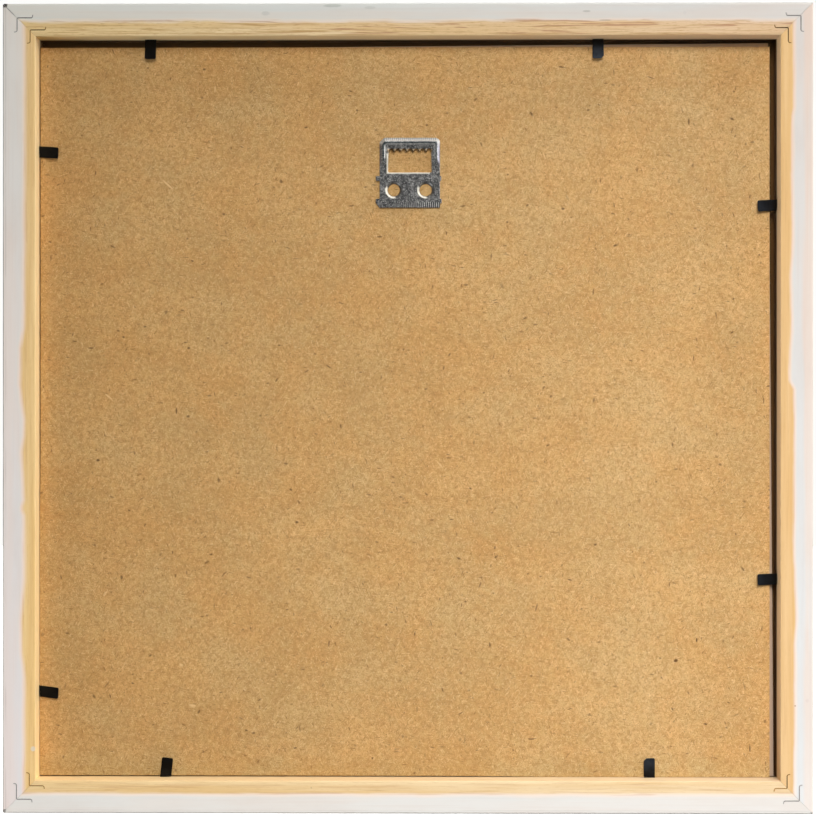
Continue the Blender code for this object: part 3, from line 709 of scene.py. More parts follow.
def nailMaterial(name, pale, dark, metallic, shine):
    m = newFinish(name)
    speck = m.noise(m.spot, 2400.0, 3.0, 0.65)
    patch = m.noise(m.spot, 520.0, 3.0, 0.6)
    # painted shade from each leg's value, broken up by patches
    legShade = m.line(patch, 0.5, m.minus(m.attribute("legShade"), 0.25))
    color = m.mix(m.math("MULTIPLY", legShade, 1.0, clamp=True), pale, dark)      # held from 0 to 1
    color = m.mix(m.stretch(speck, 0.52, 0.70, 0.0, 0.35), color, dark)
    rough = m.stretch(patch, 0.3, 0.7, 0.45, 0.75)
    others = {"Metallic": metallic, "Specular IOR Level": shine}
    return m.finish(color, rough, (speck, 0.4, 0.1 * mm), others)


for side in quarterTurns:
    corners = [name for name in nails["marks"] if side in name.split("_")]
    mesh = carve(railMesh(side), slotMesh(corners))
    addPiece("moulding_" + side, mesh, railMaterial(side), "frame", ["rail_" + side])
print("rails: four mouldings with their nail slots")

paintedNail = nailMaterial("nailUnderPaint", *nails["painted"])
bareNail = nailMaterial("nailInBareWood", *nails["bare"])
for name, mark in nails["marks"].items():
    finish = bareNail if "inner" in name else paintedNail
    mesh = nailMesh("nailStrip_" + name, mark, nails["legShades"][name])
    addPiece("corner_nail_" + name, mesh, finish, "frame", ["v_nail_" + name])
print("nails: eight corner nails")


# Tabs: black steel points that are bent down over the board
tabs = {
    "width": 6.1 * mm, "thickness": 0.5 * mm, "length": 10.4 * mm, "round": 0.16 * mm,
    "hingeIn": 0.6 * mm,          # the bend line stands this far inside the wall
    "rise": 9.0,                  # degrees that a blade climbs from its bend line to its tip
    "curl": 0.25 * mm,            # further lift of the tip
    "tipCut": 0.6 * mm,           # how far back its corners are cut, and a worn one
    "wornCut": 1.6 * mm,
    "root": 8.0 * mm, "rootGap": 0.28 * mm,
    "above": 0.3 * mm,            # over the board
    "black": (0.0022, 0.0021, 0.0022),
    "scuffed": (0.0062, 0.0058, 0.0058),
    "bluishHaze": (0.034, 0.042, 0.056),
    "steel": (0.13, 0.12, 0.11),
    "shine": 0.15,
    # side: along the wall as a share of half the opening, lean in degrees, worn tip corner, how much
    # bluish-grey haze
    "places": {
        "right": ((0.550, -4.0, 0, 0.45), (-0.462, -1.5, 0, 0.30)),
        "top": ((0.697, 0.0, 0, 0.0), (-0.516, 0.0, -1, 1.0)),
        "left": ((-0.696, 5.0, 0, 0.0), (0.768, 5.0, 0, 0.0)),
        "bottom": ((-0.656, 7.0, 0, 0.0), (0.655, -1.5, -1, 0.85)),
    },
}
tabHeight = boardHigh.y + tabs["above"] + tabs["thickness"] / 2


def tabSection(width, thickness):
    # rounded strip section: across the blade and through it
    half, deep = width / 2, thickness / 2
    corners = [(-half, -deep), (half, -deep), (half, deep), (-half, deep)]
    loop, _ = roundedLoop([(x, y, tabs["round"]) for x, y in corners], 0.9 * mm, 4)
    return loop


def bladeMesh(name, side, share, lean, worn, dust):
    # strip section carried from the rounded bend to the tip, narrowed where the corners are cut
    length, thick = tabs["length"], tabs["thickness"]
    section = tabSection(tabs["width"], thick)
    bend = -thick / 2 * np.cos(np.linspace(0, math.pi / 2, 6))[:-1]
    tipStart = length - 2 * mm
    s = np.concatenate([bend, np.linspace(0, tipStart, 9)[:-1], np.linspace(tipStart, length, 15)])
    across = np.broadcast_to(section[:, 0], (len(s), len(section))).copy()
    through = np.broadcast_to(section[:, 1], across.shape).copy()
    for end in (-1, 1):
        cut = tabs["wornCut"] if end == worn else tabs["tipCut"]
        limit = tabs["width"] / 2 - np.clip(s - (length - cut), 0, None) ** 1.15 / cut ** 0.15
        across = np.where(end * across > limit[:, None], end * limit[:, None], across)
    pinch = np.sqrt(np.clip(1 - (np.clip(s, None, 0) / (thick / 2)) ** 2, 0.02, 1))
    tip = 1 - 0.35 * climb(s, length - 0.2 * mm, length) ** 2
    through *= (pinch * tip)[:, None]
    angle = math.radians(-lean)
    toTip = climb(s, 0, length)
    run = s[:, None] - (1 - toTip[:, None]) * across * math.tan(angle)
    rise = math.radians(tabs["rise"])
    lift = tabs["curl"] * toTip ** 2
    inward = run * math.cos(angle) + across * math.sin(angle)
    sideways = -run * math.sin(angle) + across * math.cos(angle)
    out = openingHalf - tabs["hingeIn"] - inward * math.cos(rise) + through * math.sin(rise)
    along = share * openingHalf + sideways
    w = tabHeight + lift[:, None] + inward * math.sin(rise) + through * math.cos(rise)
    shell = Shell()
    shell.tube(shell.add(onSide(side, out, along, w)))
    mesh = shell.mesh(name, 50)
    spread(mesh, "dust", np.repeat(dust * toTip, len(section)))
    return mesh


def rootMesh(name, side, share, lean):
    # the straight, pointed part that sits in the wood, up to just short of the bend
    section = tabSection(tabs["width"], tabs["thickness"])
    s = np.linspace(tabs["rootGap"], tabs["hingeIn"] + tabs["root"], 20)
    narrow = np.clip((s[-1] - s) / (tabs["width"] / 2), 0.08, 1)
    angle = math.radians(-lean)
    across = section[:, 0] * narrow[:, None]
    outward = s[:, None] * math.cos(angle) - across * math.sin(angle)
    sideways = s[:, None] * math.sin(angle) + across * math.cos(angle)
    out = openingHalf - tabs["hingeIn"] + outward
    w = tabHeight + np.broadcast_to(section[:, 1], across.shape)
    shell = Shell()
    shell.tube(shell.add(onSide(side, out, share * openingHalf + sideways, w)))
    return shell.mesh(name, 50)


def blackSteel():
    m = newFinish("blackenedSteel")
    haze = m.noise(m.spot, 260.0, 4.0, 0.6)
    speck = m.noise(m.spot, 2100.0, 3.0, 0.6)
    color = m.mix(m.stretch(haze, 0.40, 0.72), tabs["black"], tabs["scuffed"])
    # a bluish-grey haze that grows towards the tip, more on some tabs than others
    dust = m.times(m.attribute("dust"), m.stretch(haze, 0.30, 0.60, 0.45, 1.0))
    color = m.mix(dust, color, tabs["bluishHaze"])
    # bare steel where the edges, which point outwards most, are rubbed
    pointed = m.stretch(m.add("NewGeometry", output=7), 0.53, 0.60)
    color = m.mix(m.times(pointed, m.stretch(speck, 0.48, 0.66, 0.0, 0.55)), color, tabs["steel"])
    rough = m.stretch(haze, 0.3, 0.7, 0.42, 0.62)
    return m.finish(color, rough, (speck, 0.25, 0.06 * mm), {"Specular IOR Level": tabs["shine"]})


black = blackSteel()
for side, places in tabs["places"].items():
    for number, (share, lean, worn, dust) in enumerate(places, start=1):
        name = f"{side}_{number}"
        blade = bladeMesh("bladeSurface_" + name, side, share, lean, worn, dust)
        addPiece("bent_tab_" + name, blade, black, "tab_" + name, ["tab_blade_" + name])
        root = rootMesh("rootSurface_" + name, side, share, lean)
        addPiece("tab_point_" + name, root, black, "frame", ["tab_root_" + name])
print("tabs: eight blades on their joints and eight points in the wood")


# Flat sheets: board, blank sheet and glass
def slabMesh(name, size, centre, levels, cells, edge, turn=0.0, wave=None, rag=None, sharpDeg=40):
    # two faces as even grids, joined by a rounded rim; wave lifts a face by a function of u and v,
    # rag draws the outline in by a function of the place along each side
    width, height = size
    back, front = levels
    share = np.linspace(-0.5, 0.5, cells + 1)
    gridU, gridV = np.meshgrid(share * (width - 2 * edge), share * (height - 2 * edge), indexing="ij")
    if rag is not None:
        # right, left, top and bottom, faded out over the outer fiftieth of each half
        pull = [rag(gridV, 1), rag(gridV, 2), rag(gridU, 3), rag(gridU, 4)]
        fadeU = climb(np.abs(gridU) / width * 2, 0.98, 1)
        fadeV = climb(np.abs(gridV) / height * 2, 0.98, 1)
        gridU = gridU - np.where(gridU > 0, pull[0], -pull[1]) * fadeU
        gridV = gridV - np.where(gridV > 0, pull[2], -pull[3]) * fadeV
    lift = np.zeros_like(gridU) if wave is None else wave(gridU, gridV)
    c, s = math.cos(turn), math.sin(turn)
    shell = Shell()

    def place(u, v, w):
        return shell.add(fromBack(centre[0] + u * c - v * s, centre[1] + u * s + v * c, w))

    backIndex, frontIndex = place(gridU, gridV, back + lift), place(gridU, gridV, front + lift)
    shell.lattice(backIndex)
    shell.lattice(frontIndex)
    # the rim: once round the grids' outer points, with its rings pushed out along a quarter circle
    count, zero, full = np.arange(cells), np.zeros(cells, int), np.full(cells, cells)
    i = np.concatenate([count, full, cells - count, zero])
    j = np.concatenate([zero, count, full, cells - count])
    awayU = (i == cells).astype(float) - (i == 0)
    awayV = (j == cells).astype(float) - (j == 0)
    norm = np.maximum(np.hypot(awayU, awayV), 1)

    def ring(angle, level, way):
        reach, drop = edge * math.sin(angle), edge * (1 - math.cos(angle))
        u, v = gridU[i, j] + awayU / norm * reach, gridV[i, j] + awayV / norm * reach
        return place(u, v, level + way * drop + lift[i, j])

    angles = np.linspace(0, math.pi / 2, 4)[1:]
    rows = [ring(angle, back, -1) for angle in angles] + [ring(angle, front, 1) for angle in angles[::-1]]
    shell.lattice(np.stack([backIndex[i, j], *rows, frontIndex[i, j]]), wrapColumns=True)
    return shell.mesh(name, sharpDeg)


def middleOf(lowest, highest):
    # size and centre of a node's box in the back view
    size = (highest.x - lowest.x, highest.z - lowest.z)
    return size, (middle.x - (lowest.x + highest.x) / 2, (lowest.z + highest.z) / 2 - middle.z)


# Backing board: brown fibreboard, sawn on all four sides
board = {
    "cells": 190, "edge": 0.22 * mm,
    "rag": 0.16 * mm,             # unevenness of the sawn edges
    # how much closer it lies to the left and lower rails: before and after a place along the side
    "snug": {2: (0.70 * mm, 0.36 * mm, -44 * mm), 4: (0.0, 0.50 * mm, 56 * mm)},
    "snugSpan": 16 * mm,
    "warp": 0.05 * mm,
    "tan": (0.560, 0.307, 0.111), "ochre": (0.630, 0.374, 0.150), "umber": (0.40, 0.205, 0.064),
    "olive": (0.517, 0.321, 0.106), "fleck": (0.13, 0.058, 0.018), "straw": (0.80, 0.55, 0.27),
    "ruddy": (1.030, 0.987, 0.945), "sallow": (0.972, 1.009, 1.060),
    "lightRamp": ((1.170, 1.255, 1.385), (1.075, 1.105, 1.095)),      # painted light: the tint on the photo's right and left, as the light falls across the board
    "lowStrip": (0.79, 0.86, 0.90), "lowHeight": 16 * mm,         # and darker along the lower edge
    # what lies over the ground colours: the noise, from, to, how strongly, the paint
    "layers": (
        ("drift", 0.50, 0.76, 0.36, "umber"), ("blotch", 0.35, 0.65, 0.30, "olive"),
        ("mottle", 0.42, 0.66, 0.60, "umber"), ("pale", 0.42, 0.28, 0.55, "straw"),
        ("dark", 0.58, 0.72, 0.90, "umber"), ("dark", 0.66, 0.80, 0.60, "fleck"),
        ("dust", 0.50, 0.66, 0.80, "umber"),
    ),
    # short dark splinters: size of the cells they sit in, both ways in mm, how few, how dark
    "splinters": (
        (3.4, 2.8, 0.975, 0.9), (5.0, 1.7, 0.955, 0.8), (1.7, 5.0, 0.955, 0.8), (1.5, 1.3, 0.87, 0.62),
    ),
    # the ones that stand out, in photo pixels: place, half length, half width, degrees, deep or pale
    "hairs": (
        (675.4, 659.9, 2.2, 1.6, 20, -0.95), (176.5, 410.8, 3.4, 0.9, 90, -0.8),
        (97.9, 460.1, 1.8, 1.3, 0, -0.9), (688.4, 122.0, 3.4, 0.9, 90, -0.8),
        (297.0, 522.0, 1.7, 1.3, 0, -0.8), (562.9, 208.9, 1.7, 1.3, 0, -0.8),
        (329.1, 643.2, 3.4, 1.0, 80, -0.6), (218.6, 479.9, 2.6, 1.1, 100, -0.6),
        (536.4, 607.1, 4.0, 0.9, 75, -0.6), (466.1, 284.8, 2.2, 1.2, 0, -0.6),
        (209.5, 395.5, 2.2, 1.0, 0, -0.6), (207.0, 562.1, 2.8, 1.1, 30, -0.6),
        (379.9, 236.7, 2.8, 0.9, 0, -0.7), (480.1, 584.5, 3.2, 0.9, 70, -0.6),
        (199.0, 711.6, 2.2, 1.1, 60, -0.7), (696.2, 639.4, 2.2, 0.9, 90, -0.9),
        (593.1, 291.8, 3.6, 0.8, 85, -0.6), (749.2, 747.6, 3.6, 0.8, 90, -0.8),
        (168.2, 184.8, 7.5, 0.9, -42, 0.8), (108.7, 396.6, 5.0, 0.9, -40, 0.7),
        (192.5, 705.4, 3.8, 1.1, -10, 0.7), (585.9, 460.8, 3.0, 1.1, 0, 0.6),
        (105.0, 593.6, 2.8, 1.3, 60, 0.6), (181.4, 665.1, 2.2, 1.4, 0, 0.6),
        (576.1, 420.9, 3.4, 0.9, 40, 0.6), (440.2, 464.6, 3.4, 0.9, -50, 0.6),
        (215.1, 89.1, 3.6, 0.8, 90, 0.7),
    ),
}


def boardWave(u, v):
    # shallow waves in both directions, never above the board's true face
    waves = ripple(u + 0.31 * v, 11, longest=0.3) + ripple(v - 0.23 * u, 12, longest=0.3)
    return board["warp"] * (waves / 2 - 1) * 0.5


def boardRag(t, seed):
    # the sawn edge wanders inwards, less the part by which the board lies closer to that rail
    before, after, at = board["snug"].get(seed, (0.0, 0.0, 0.0))
    share = 0.5 + 0.5 * np.tanh((t - at) / board["snugSpan"])
    waver = board["rag"] * (0.5 + 0.5 * ripple(t, 20 + seed, 14, shortest=0.002, longest=0.03))
    return waver - before - (after - before) * share


def hairOf(m, x, y, halfLong, halfWide, turnDeg):
    # 1 inside a small turned ellipse at a place in the photo, fading to 0 past its rim
    perMm = photo["perMm"] * photo["distance"] / (photo["distance"] + backFace - boardHigh.y)
    u, v = (x - photo["centreX"]) / perMm * mm, (photo["centreY"] - y) / perMm * mm
    inputs = {
        "Vector": m.spot, "Location": fromBack(u, v, boardHigh.y).tolist(),
        "Rotation": (0.0, math.radians(turnDeg), 0.0),
        "Scale": (halfLong / perMm * mm, 1.0, halfWide / perMm * mm),
    }
    away = m.length(m.add("Mapping", inputs, vector_type="TEXTURE"))
    return m.stretch(away, 0.6, 1.25, 1.0, 0.0)


def boardMaterial():
    m = newFinish("brownFibreboard")
    flat = m.scaled(m.spot, (1.0, 0.35, 1.0))
    clouds = m.noise(m.scaled(flat, (0.7, 1.0, 1.3)), 17.0, 4.0, 0.62, 0.4)
    hue = m.noise(m.moved(flat, (2.0, 0.0, 7.0)), 22.0, 5.0, 0.72, 0.3)
    noise = {
        "drift": m.noise(m.moved(m.spot, (0.7, 0.2, 1.9)), 46.0, 3.0, 0.6),
        "blotch": m.noise(m.moved(flat, (5.0, 0.0, 3.0)), 150.0, 3.0, 0.6, 0.6),
        "mottle": m.noise(flat, 560.0, 3.0, 0.65, 0.5),
        "dust": m.noise(flat, 2300.0, 2.0, 0.6),
    }
    # pressed fibres: noise drawn out in three directions, the strongest and the weakest of them
    strands = []
    for turn in (0.15, 1.2, 2.2):
        inputs = {"Vector": flat, "Rotation": (0.0, turn, 0.0), "Location": (turn, 0.0, 0.0)}
        turned = m.scaled(m.add("Mapping", inputs), (330.0, 1.0, 1500.0))
        strands.append(m.noise(turned, 1.0, 2.0, 0.55, 0.6))
    first, second, third = strands
    noise["dark"] = m.math("MAXIMUM", m.math("MAXIMUM", first, second), third)
    noise["pale"] = m.math("MINIMUM", m.math("MINIMUM", first, second), third)
    color = m.mix(m.stretch(clouds, 0.32, 0.68), board["tan"], board["ochre"])
    color = m.layers(color, board["layers"], noise, board)
    color = m.tint(color, m.mix(m.stretch(hue, 0.36, 0.64), board["ruddy"], board["sallow"]))
    # painted light: the board is tinted from the photo's left to its right; it is also darker along its lower
    # edge
    x, _, z = m.split(m.spot)
    color = m.tint(color, m.mix(m.stretch(x, boardLow.x, boardHigh.x, smooth=False), *board["lightRamp"]))
    strip = m.stretch(z, boardLow.z, boardLow.z + board["lowHeight"], 1.0, 0.0)
    color = m.tint(color, m.mix(strip, (1.0, 1.0, 1.0), board["lowStrip"]))

    # short dark splinters: stretched cells, few of them, turned by a slow noise
    bend = m.add("TexNoise", {"Vector": flat, "Scale": 60.0, "Detail": 1.0}, output=1)
    bend = m.add("VectorMath", {0: bend, "Scale": 0.012}, operation="SCALE")
    turned = m.vector("ADD", flat, bend)
    for number, (wide, tall, fewFrom, deep) in enumerate(board["splinters"]):
        shift = (3.3 * number, 3.3 * number, 0.0)
        away, chosen = m.cells(m.scaled(turned, (1000 / wide, 1.0, 1000 / tall), shift))
        few = m.stretch(chosen, fewFrom, 1.0, 0.35, 1.0, smooth=False)
        few = m.times(few, m.math("GREATER_THAN", chosen, fewFrom))
        near = m.stretch(away, 0.10, 0.34, 1.0, 0.0)
        color = m.mix(m.times(few, m.times(near, deep)), color, board["fleck"])
    for sign, paint in ((-1, board["fleck"]), (1, board["straw"])):
        found = 0.0
        for *where, strength in board["hairs"]:
            if strength * sign > 0:
                found = m.math("MAXIMUM", found, m.times(hairOf(m, *where), abs(strength)))
        color = m.mix(found, color, paint)
    # and pale hair-like fibres: thin level lines of a noise, kept only in patches
    hair = m.noise(m.moved(flat, (4.0, 0.0, 2.0)), 240.0, 2.0, 0.5, 0.8)
    thin = m.stretch(m.math("ABSOLUTE", m.minus(hair, 0.5)), 0.0, 0.012, 1.0, 0.0)
    patch = m.stretch(m.noise(m.moved(flat, (8.0, 0.0, 5.0)), 300.0, 1.0), 0.56, 0.66)
    color = m.mix(m.times(thin, patch, 0.35), color, board["straw"])

    height = m.line(noise["dark"], 0.7, m.times(noise["dust"], 0.3))
    rough = m.stretch(noise["mottle"], 0.3, 0.7, 0.62, 0.86)
    return m.finish(color, rough, (height, 0.32, 0.12 * mm), {"Specular IOR Level": 0.35})


# Hanger: a zinc-plated stamping with a raised, toothed window and two drawn collars
hanger = {
    "seat": (1.3 * mm, 141.9 * mm),      # middle notch, in the back view
    "foot": boardHigh.y + 0.3 * mm,      # the plate's underside
    # from here in mm, and heights from the middle notch
    "thickness": 0.9, "halfWidth": 16.5, "top": 5.2, "bottom": -32.2,
    "chamfer": 2.5, "corner": 2.7, "flange": 0.7,
    "stubs": ((-29.9, -27.3), (-17.5, -14.9)), "stubRound": 0.38,      # lower and upper: from, to
    "windowHalf": 12.0, "windowFoot": -13.0, "windowCorner": 0.8,
    "teeth": 7, "toothDepth": 1.4, "toothFlat": 0.8, "toothRound": 0.30,
    # the raised rim: distance in from its outer edge, and its height there
    "foldAt": (0.0, 1.60, 2.60, 2.95), "foldRise": (0.7, 2.3, 2.3, 1.9),
    "raisedEnd": -5.0, "flatStart": -12.5,
    "holeSide": 8.7, "holeDrop": -22.55, "dish": 4.85,
    "rollover": 0.26, "windowRoll": 0.44,      # how far the cut edges are rolled over
    "toothSag": 0.55, "barDroop": 0.75,
    "ribPitch": 1.12, "ribRise": 0.12, "ribTop": -28.9,      # coining along the lower edge
    "step": 0.17, "grid": 0.36, "spots": 72,
    # section of a collar from the top sheet down its bore and back up outside: radius, height
    "collar": (
        (4.70, 0.885), (4.56, 0.80), (4.42, 0.67), (4.20, 0.45), (3.95, 0.20), (3.72, -0.03),
        (3.56, -0.26), (3.44, -0.60), (3.37, -1.2), (3.35, -2.0), (3.42, -2.26), (3.60, -2.34),
        (3.78, -2.24), (3.85, -1.9), (3.85, -0.9), (3.87, -0.55), (3.95, -0.28), (4.12, -0.10),
        (4.40, 0.0),
    ),
    "groove": (3.25 * mm, 3.95 * mm), "grooveDeep": 2.2 * mm,      # the room for it in the board
}


def plateOutline():
    # outer edge, anticlockwise, with the broken-off stubs of the strip it was stamped from
    h, r, foot, chamfer = hanger["halfWidth"], hanger["stubRound"], hanger["bottom"], hanger["chamfer"]
    top = hanger["top"] + hanger["flange"]
    (a, b), (c, d) = hanger["stubs"]
    corners = [
        (h, foot, 0.5), (h, a, 0.3), (h + 0.9, a, 0.3), (h + 0.9, b, 0.3), (h, b, 0.3),
        (h, c, 0.3), (h + 0.7, c, 0.3), (h + 0.7, d, 0.3), (h, d, 0.3),
        (h, top, hanger["corner"]), (-h + chamfer, top, 0.9), (-h, top - chamfer, 0.9),
        (-h, d, r), (-h - 2.2, d, r), (-h - 2.1, c, r), (-h, c, r),
        (-h, b, r), (-h - 2.1, b, 0.6), (-h - 2.2, a + 0.5, 0.6), (-h, foot, 0.7),
    ]
    return evenly(roundedLoop(corners, 0.5, 8)[0], hanger["step"])


def plateWindow():
    # a level foot and, along the top, teeth that hang down between trapezoid notches
    half, foot, radius = hanger["windowHalf"], hanger["windowFoot"], hanger["windowCorner"]
    pitch = 2 * half / hanger["teeth"]
    flat, tip = hanger["toothFlat"] / 2, (pitch - hanger["toothFlat"]) / 2
    corners = [(-half, foot, radius), (half, foot, radius)]
    deep, r = -hanger["toothDepth"], hanger["toothRound"]
    for i in range(hanger["teeth"] - 1, -1, -1):
        notch = (i + 0.5) * pitch - half
        corners += [(notch + tip, deep, r), (notch + flat, 0, r)]
        corners += [(notch - flat, 0, r), (notch - tip, deep, r)]
    return evenly(roundedLoop(corners, 0.5, 6)[0], hanger["step"])


def evenly(loop, step):
    # the same closed loop with points at even distances
    closed = np.concatenate([loop, loop[:1]])
    run = np.concatenate([[0], np.cumsum(np.hypot(*np.diff(closed, axis=0).T))])
    count = int(run[-1] / step)
    at = np.linspace(0, run[-1], count, endpoint=False)
    return np.stack([np.interp(at, run, closed[:, 0]), np.interp(at, run, closed[:, 1])], -1)


def inside(points, loop):
    # even-odd rule: how many edges of the loop a level ray from each point crosses
    x, y = points[:, 0, None], points[:, 1, None]
    x0, y0 = loop[:, 0], loop[:, 1]
    x1, y1 = np.roll(x0, -1), np.roll(y0, -1)
    spans = (y0 > y) != (y1 > y)
    with np.errstate(divide="ignore", invalid="ignore"):
        crossing = x0 + (y - y0) / (y1 - y0) * (x1 - x0)
    return (spans & (x < crossing)).sum(1) % 2 == 1


def plateInset(points):
    # distance in from the raised part's outer edge, with its rounded and its cut corner
    x, y = points[..., 0], points[..., 1]
    corner = hanger["corner"]
    beyondX = np.abs(x) - (hanger["halfWidth"] - corner)
    beyondY = y - (hanger["top"] - corner)
    beyond = np.hypot(np.clip(beyondX, 0, None), np.clip(beyondY, 0, None))
    inset = corner - beyond - np.minimum(np.maximum(beyondX, beyondY), 0)
    slant = hanger["halfWidth"] + hanger["top"] - hanger["chamfer"] + x - y
    return np.minimum(inset, slant / math.sqrt(2))


def plateHeight(points):
    # height of the underside: a fold profile over the distance in from the outer edge,
    # averaged over a third of a millimetre, faded out towards the flat foot
    x, y = points[..., 0], points[..., 1]
    beside = np.abs(x) - hanger["windowHalf"]
    taps = np.linspace(-0.14, 0.14, 5)
    rise = np.interp(plateInset(points)[..., None] + taps, hanger["foldAt"], hanger["foldRise"]).mean(-1)
    fade = climb(y, hanger["flatStart"], hanger["raisedEnd"])
    rise = rise * fade * fade * (3 - 2 * fade)
    # the teeth hang down a little, and lean towards the board on their left flanks
    tooth = climb(y, 0.3, -1.6) * climb(y, -1.9, -1.6) * (beside < 0.2)
    lean = 0.5 + 0.5 * np.cos(2 * math.pi * (toothPhase(x) - 0.17))
    sag = hanger["toothSag"] * tooth * (1 - 0.6 * lean)
    # and the bar that they are cut in slopes towards the board
    bar = climb(y, 1.8, 0.3) * climb(beside, 0.6, -0.6) * climb(y, -2.4, -1.6)
    sag = sag + hanger["barDroop"] * bar
    # coining marks: short upright ribs along the lower edge, and a faint dent
    ribs = np.cos(x * 2 * math.pi / hanger["ribPitch"]) * climb(x, 0.5, 3.0)
    ribs = ribs * climb(y, hanger["ribTop"], hanger["ribTop"] - 0.8)
    dent = 0.05 * np.exp(-((x - 1.0) ** 2 + (y + 18.5) ** 2) / 3.0)
    return rise - sag + hanger["ribRise"] * ribs - dent


def toothPhase(x):
    # 0 at a tooth's tip, 0.5 in the middle of a notch
    return (x + hanger["windowHalf"]) * hanger["teeth"] / (2 * hanger["windowHalf"]) % 1


def hangerMesh():
    # top and foot sheets over one plan, joined by rolled edges and by the drawn collars
    outline, window = plateOutline(), plateWindow()
    outerRoll = np.full((len(outline), 1), hanger["rollover"])
    nearTeeth = climb(window[:, 1:], -3.4, -2.4)
    windowRoll = hanger["windowRoll"] + (hanger["rollover"] - hanger["windowRoll"]) * nearTeeth
    outerIn = outline - loopNormals(outline) * outerRoll
    windowOut = window + loopNormals(window) * windowRoll
    spin = np.linspace(0, 2 * math.pi, hanger["spots"], endpoint=False)
    ringXY = np.stack([np.cos(spin), np.sin(spin)], -1)
    holes = [np.array([side * hanger["holeSide"], hanger["holeDrop"]]) for side in (-1, 1)]
    plans = [outerIn, windowOut, *(hole + ringXY * hanger["dish"] for hole in holes)]

    # points that fill the plan: an even grid, and a finer one under the ribs of the lower edge
    grid, ribX, ribY = hanger["grid"], 0.5, hanger["ribTop"] + 0.3
    gridX, gridY = np.meshgrid(np.arange(-19, 18, grid), np.arange(-32.5, 6.2, grid))
    fineX, fineY = np.meshgrid(np.arange(ribX, 18, grid / 2), np.arange(-32.5, ribY, grid))
    fill = np.stack([gridX.ravel(), gridY.ravel()], -1)
    fill = fill[(fill[:, 0] < ribX) | (fill[:, 1] > ribY)]
    fill = np.concatenate([fill, np.stack([fineX.ravel(), fineY.ravel()], -1)])

    def solid(points):
        kept = inside(points, plans[0])
        for hole in plans[1:]:
            kept &= ~inside(points, hole)
        return kept

    fill = fill[solid(fill)]
    edges = np.concatenate(plans)
    clear = np.concatenate([
        np.hypot(*(part[:, None] - edges[None]).transpose(2, 0, 1)).min(1)
        for part in np.array_split(fill, 40)
    ])
    plan = np.concatenate([edges, fill[clear > 0.5 * grid]])
    starts = np.cumsum([0] + [len(loop) for loop in plans])
    loops = [np.arange(a, b) for a, b in zip(starts[:-1], starts[1:])]
    ties = np.concatenate([np.stack([loop, np.roll(loop, -1)], -1) for loop in loops])
    made = delaunay_2d_cdt([Vector(p) for p in plan.tolist()], ties.tolist(), [], 0, 1e-5, False)
    if len(made[0]) != len(plan):
        raise ValueError("the hanger's plan outlines cross or touch")
    faces = np.array(made[2])
    faces = faces[solid(plan[faces].mean(1))]

    shell, thick, (seatU, seatV) = Shell(), hanger["thickness"], hanger["seat"]

    def place(points, height):
        u, v = seatU + points[..., 0] * mm, seatV + points[..., 1] * mm
        return shell.add(fromBack(u, v, hanger["foot"] + height * mm))

    topIndex, footIndex = place(plan, plateHeight(plan) + thick), place(plan, plateHeight(plan))
    shell.triangles(topIndex[faces])
    shell.triangles(footIndex[faces][:, ::-1])

    def rolled(edge, normal, radius, angle, level, way):
        # a ring that is radius x (1 - sin) in from the cut edge and radius x (1 - cos) off its level
        ring = edge - normal * radius * (1 - math.sin(angle))
        return place(ring, plateHeight(ring) + level + way * radius[:, 0] * (1 - math.cos(angle)))

    angles = np.linspace(0, math.pi / 2, 6)[1:]
    cuts = (outline, 1, outerRoll), (window, -1, windowRoll)
    for loop, (edge, sign, radius) in zip(loops, cuts):
        normal = loopNormals(edge) * sign
        rows = [rolled(edge, normal, radius, angle, thick, -1) for angle in angles]
        rows += [rolled(edge, normal, radius, angle, 0.0, 1) for angle in angles[::-1]]
        shell.lattice(np.stack([topIndex[loop], *rows, footIndex[loop]]), wrapColumns=True)
    for loop, hole in zip(loops[2:], holes):
        rows = [place(hole + ringXY * reach, np.full(len(spin), level)) for reach, level in hanger["collar"]]
        shell.lattice(np.stack([topIndex[loop], *rows, footIndex[loop]]), wrapColumns=True)
    mesh = shell.mesh("hangerSurface", 60)

    spots = np.concatenate(shell.points)
    plan = np.stack([middle.x - spots[:, 0] - seatU, spots[:, 2] - middle.z - seatV], -1) / mm
    for name, values in hangerMasks(plan).items():
        spread(mesh, name, values)
    return mesh


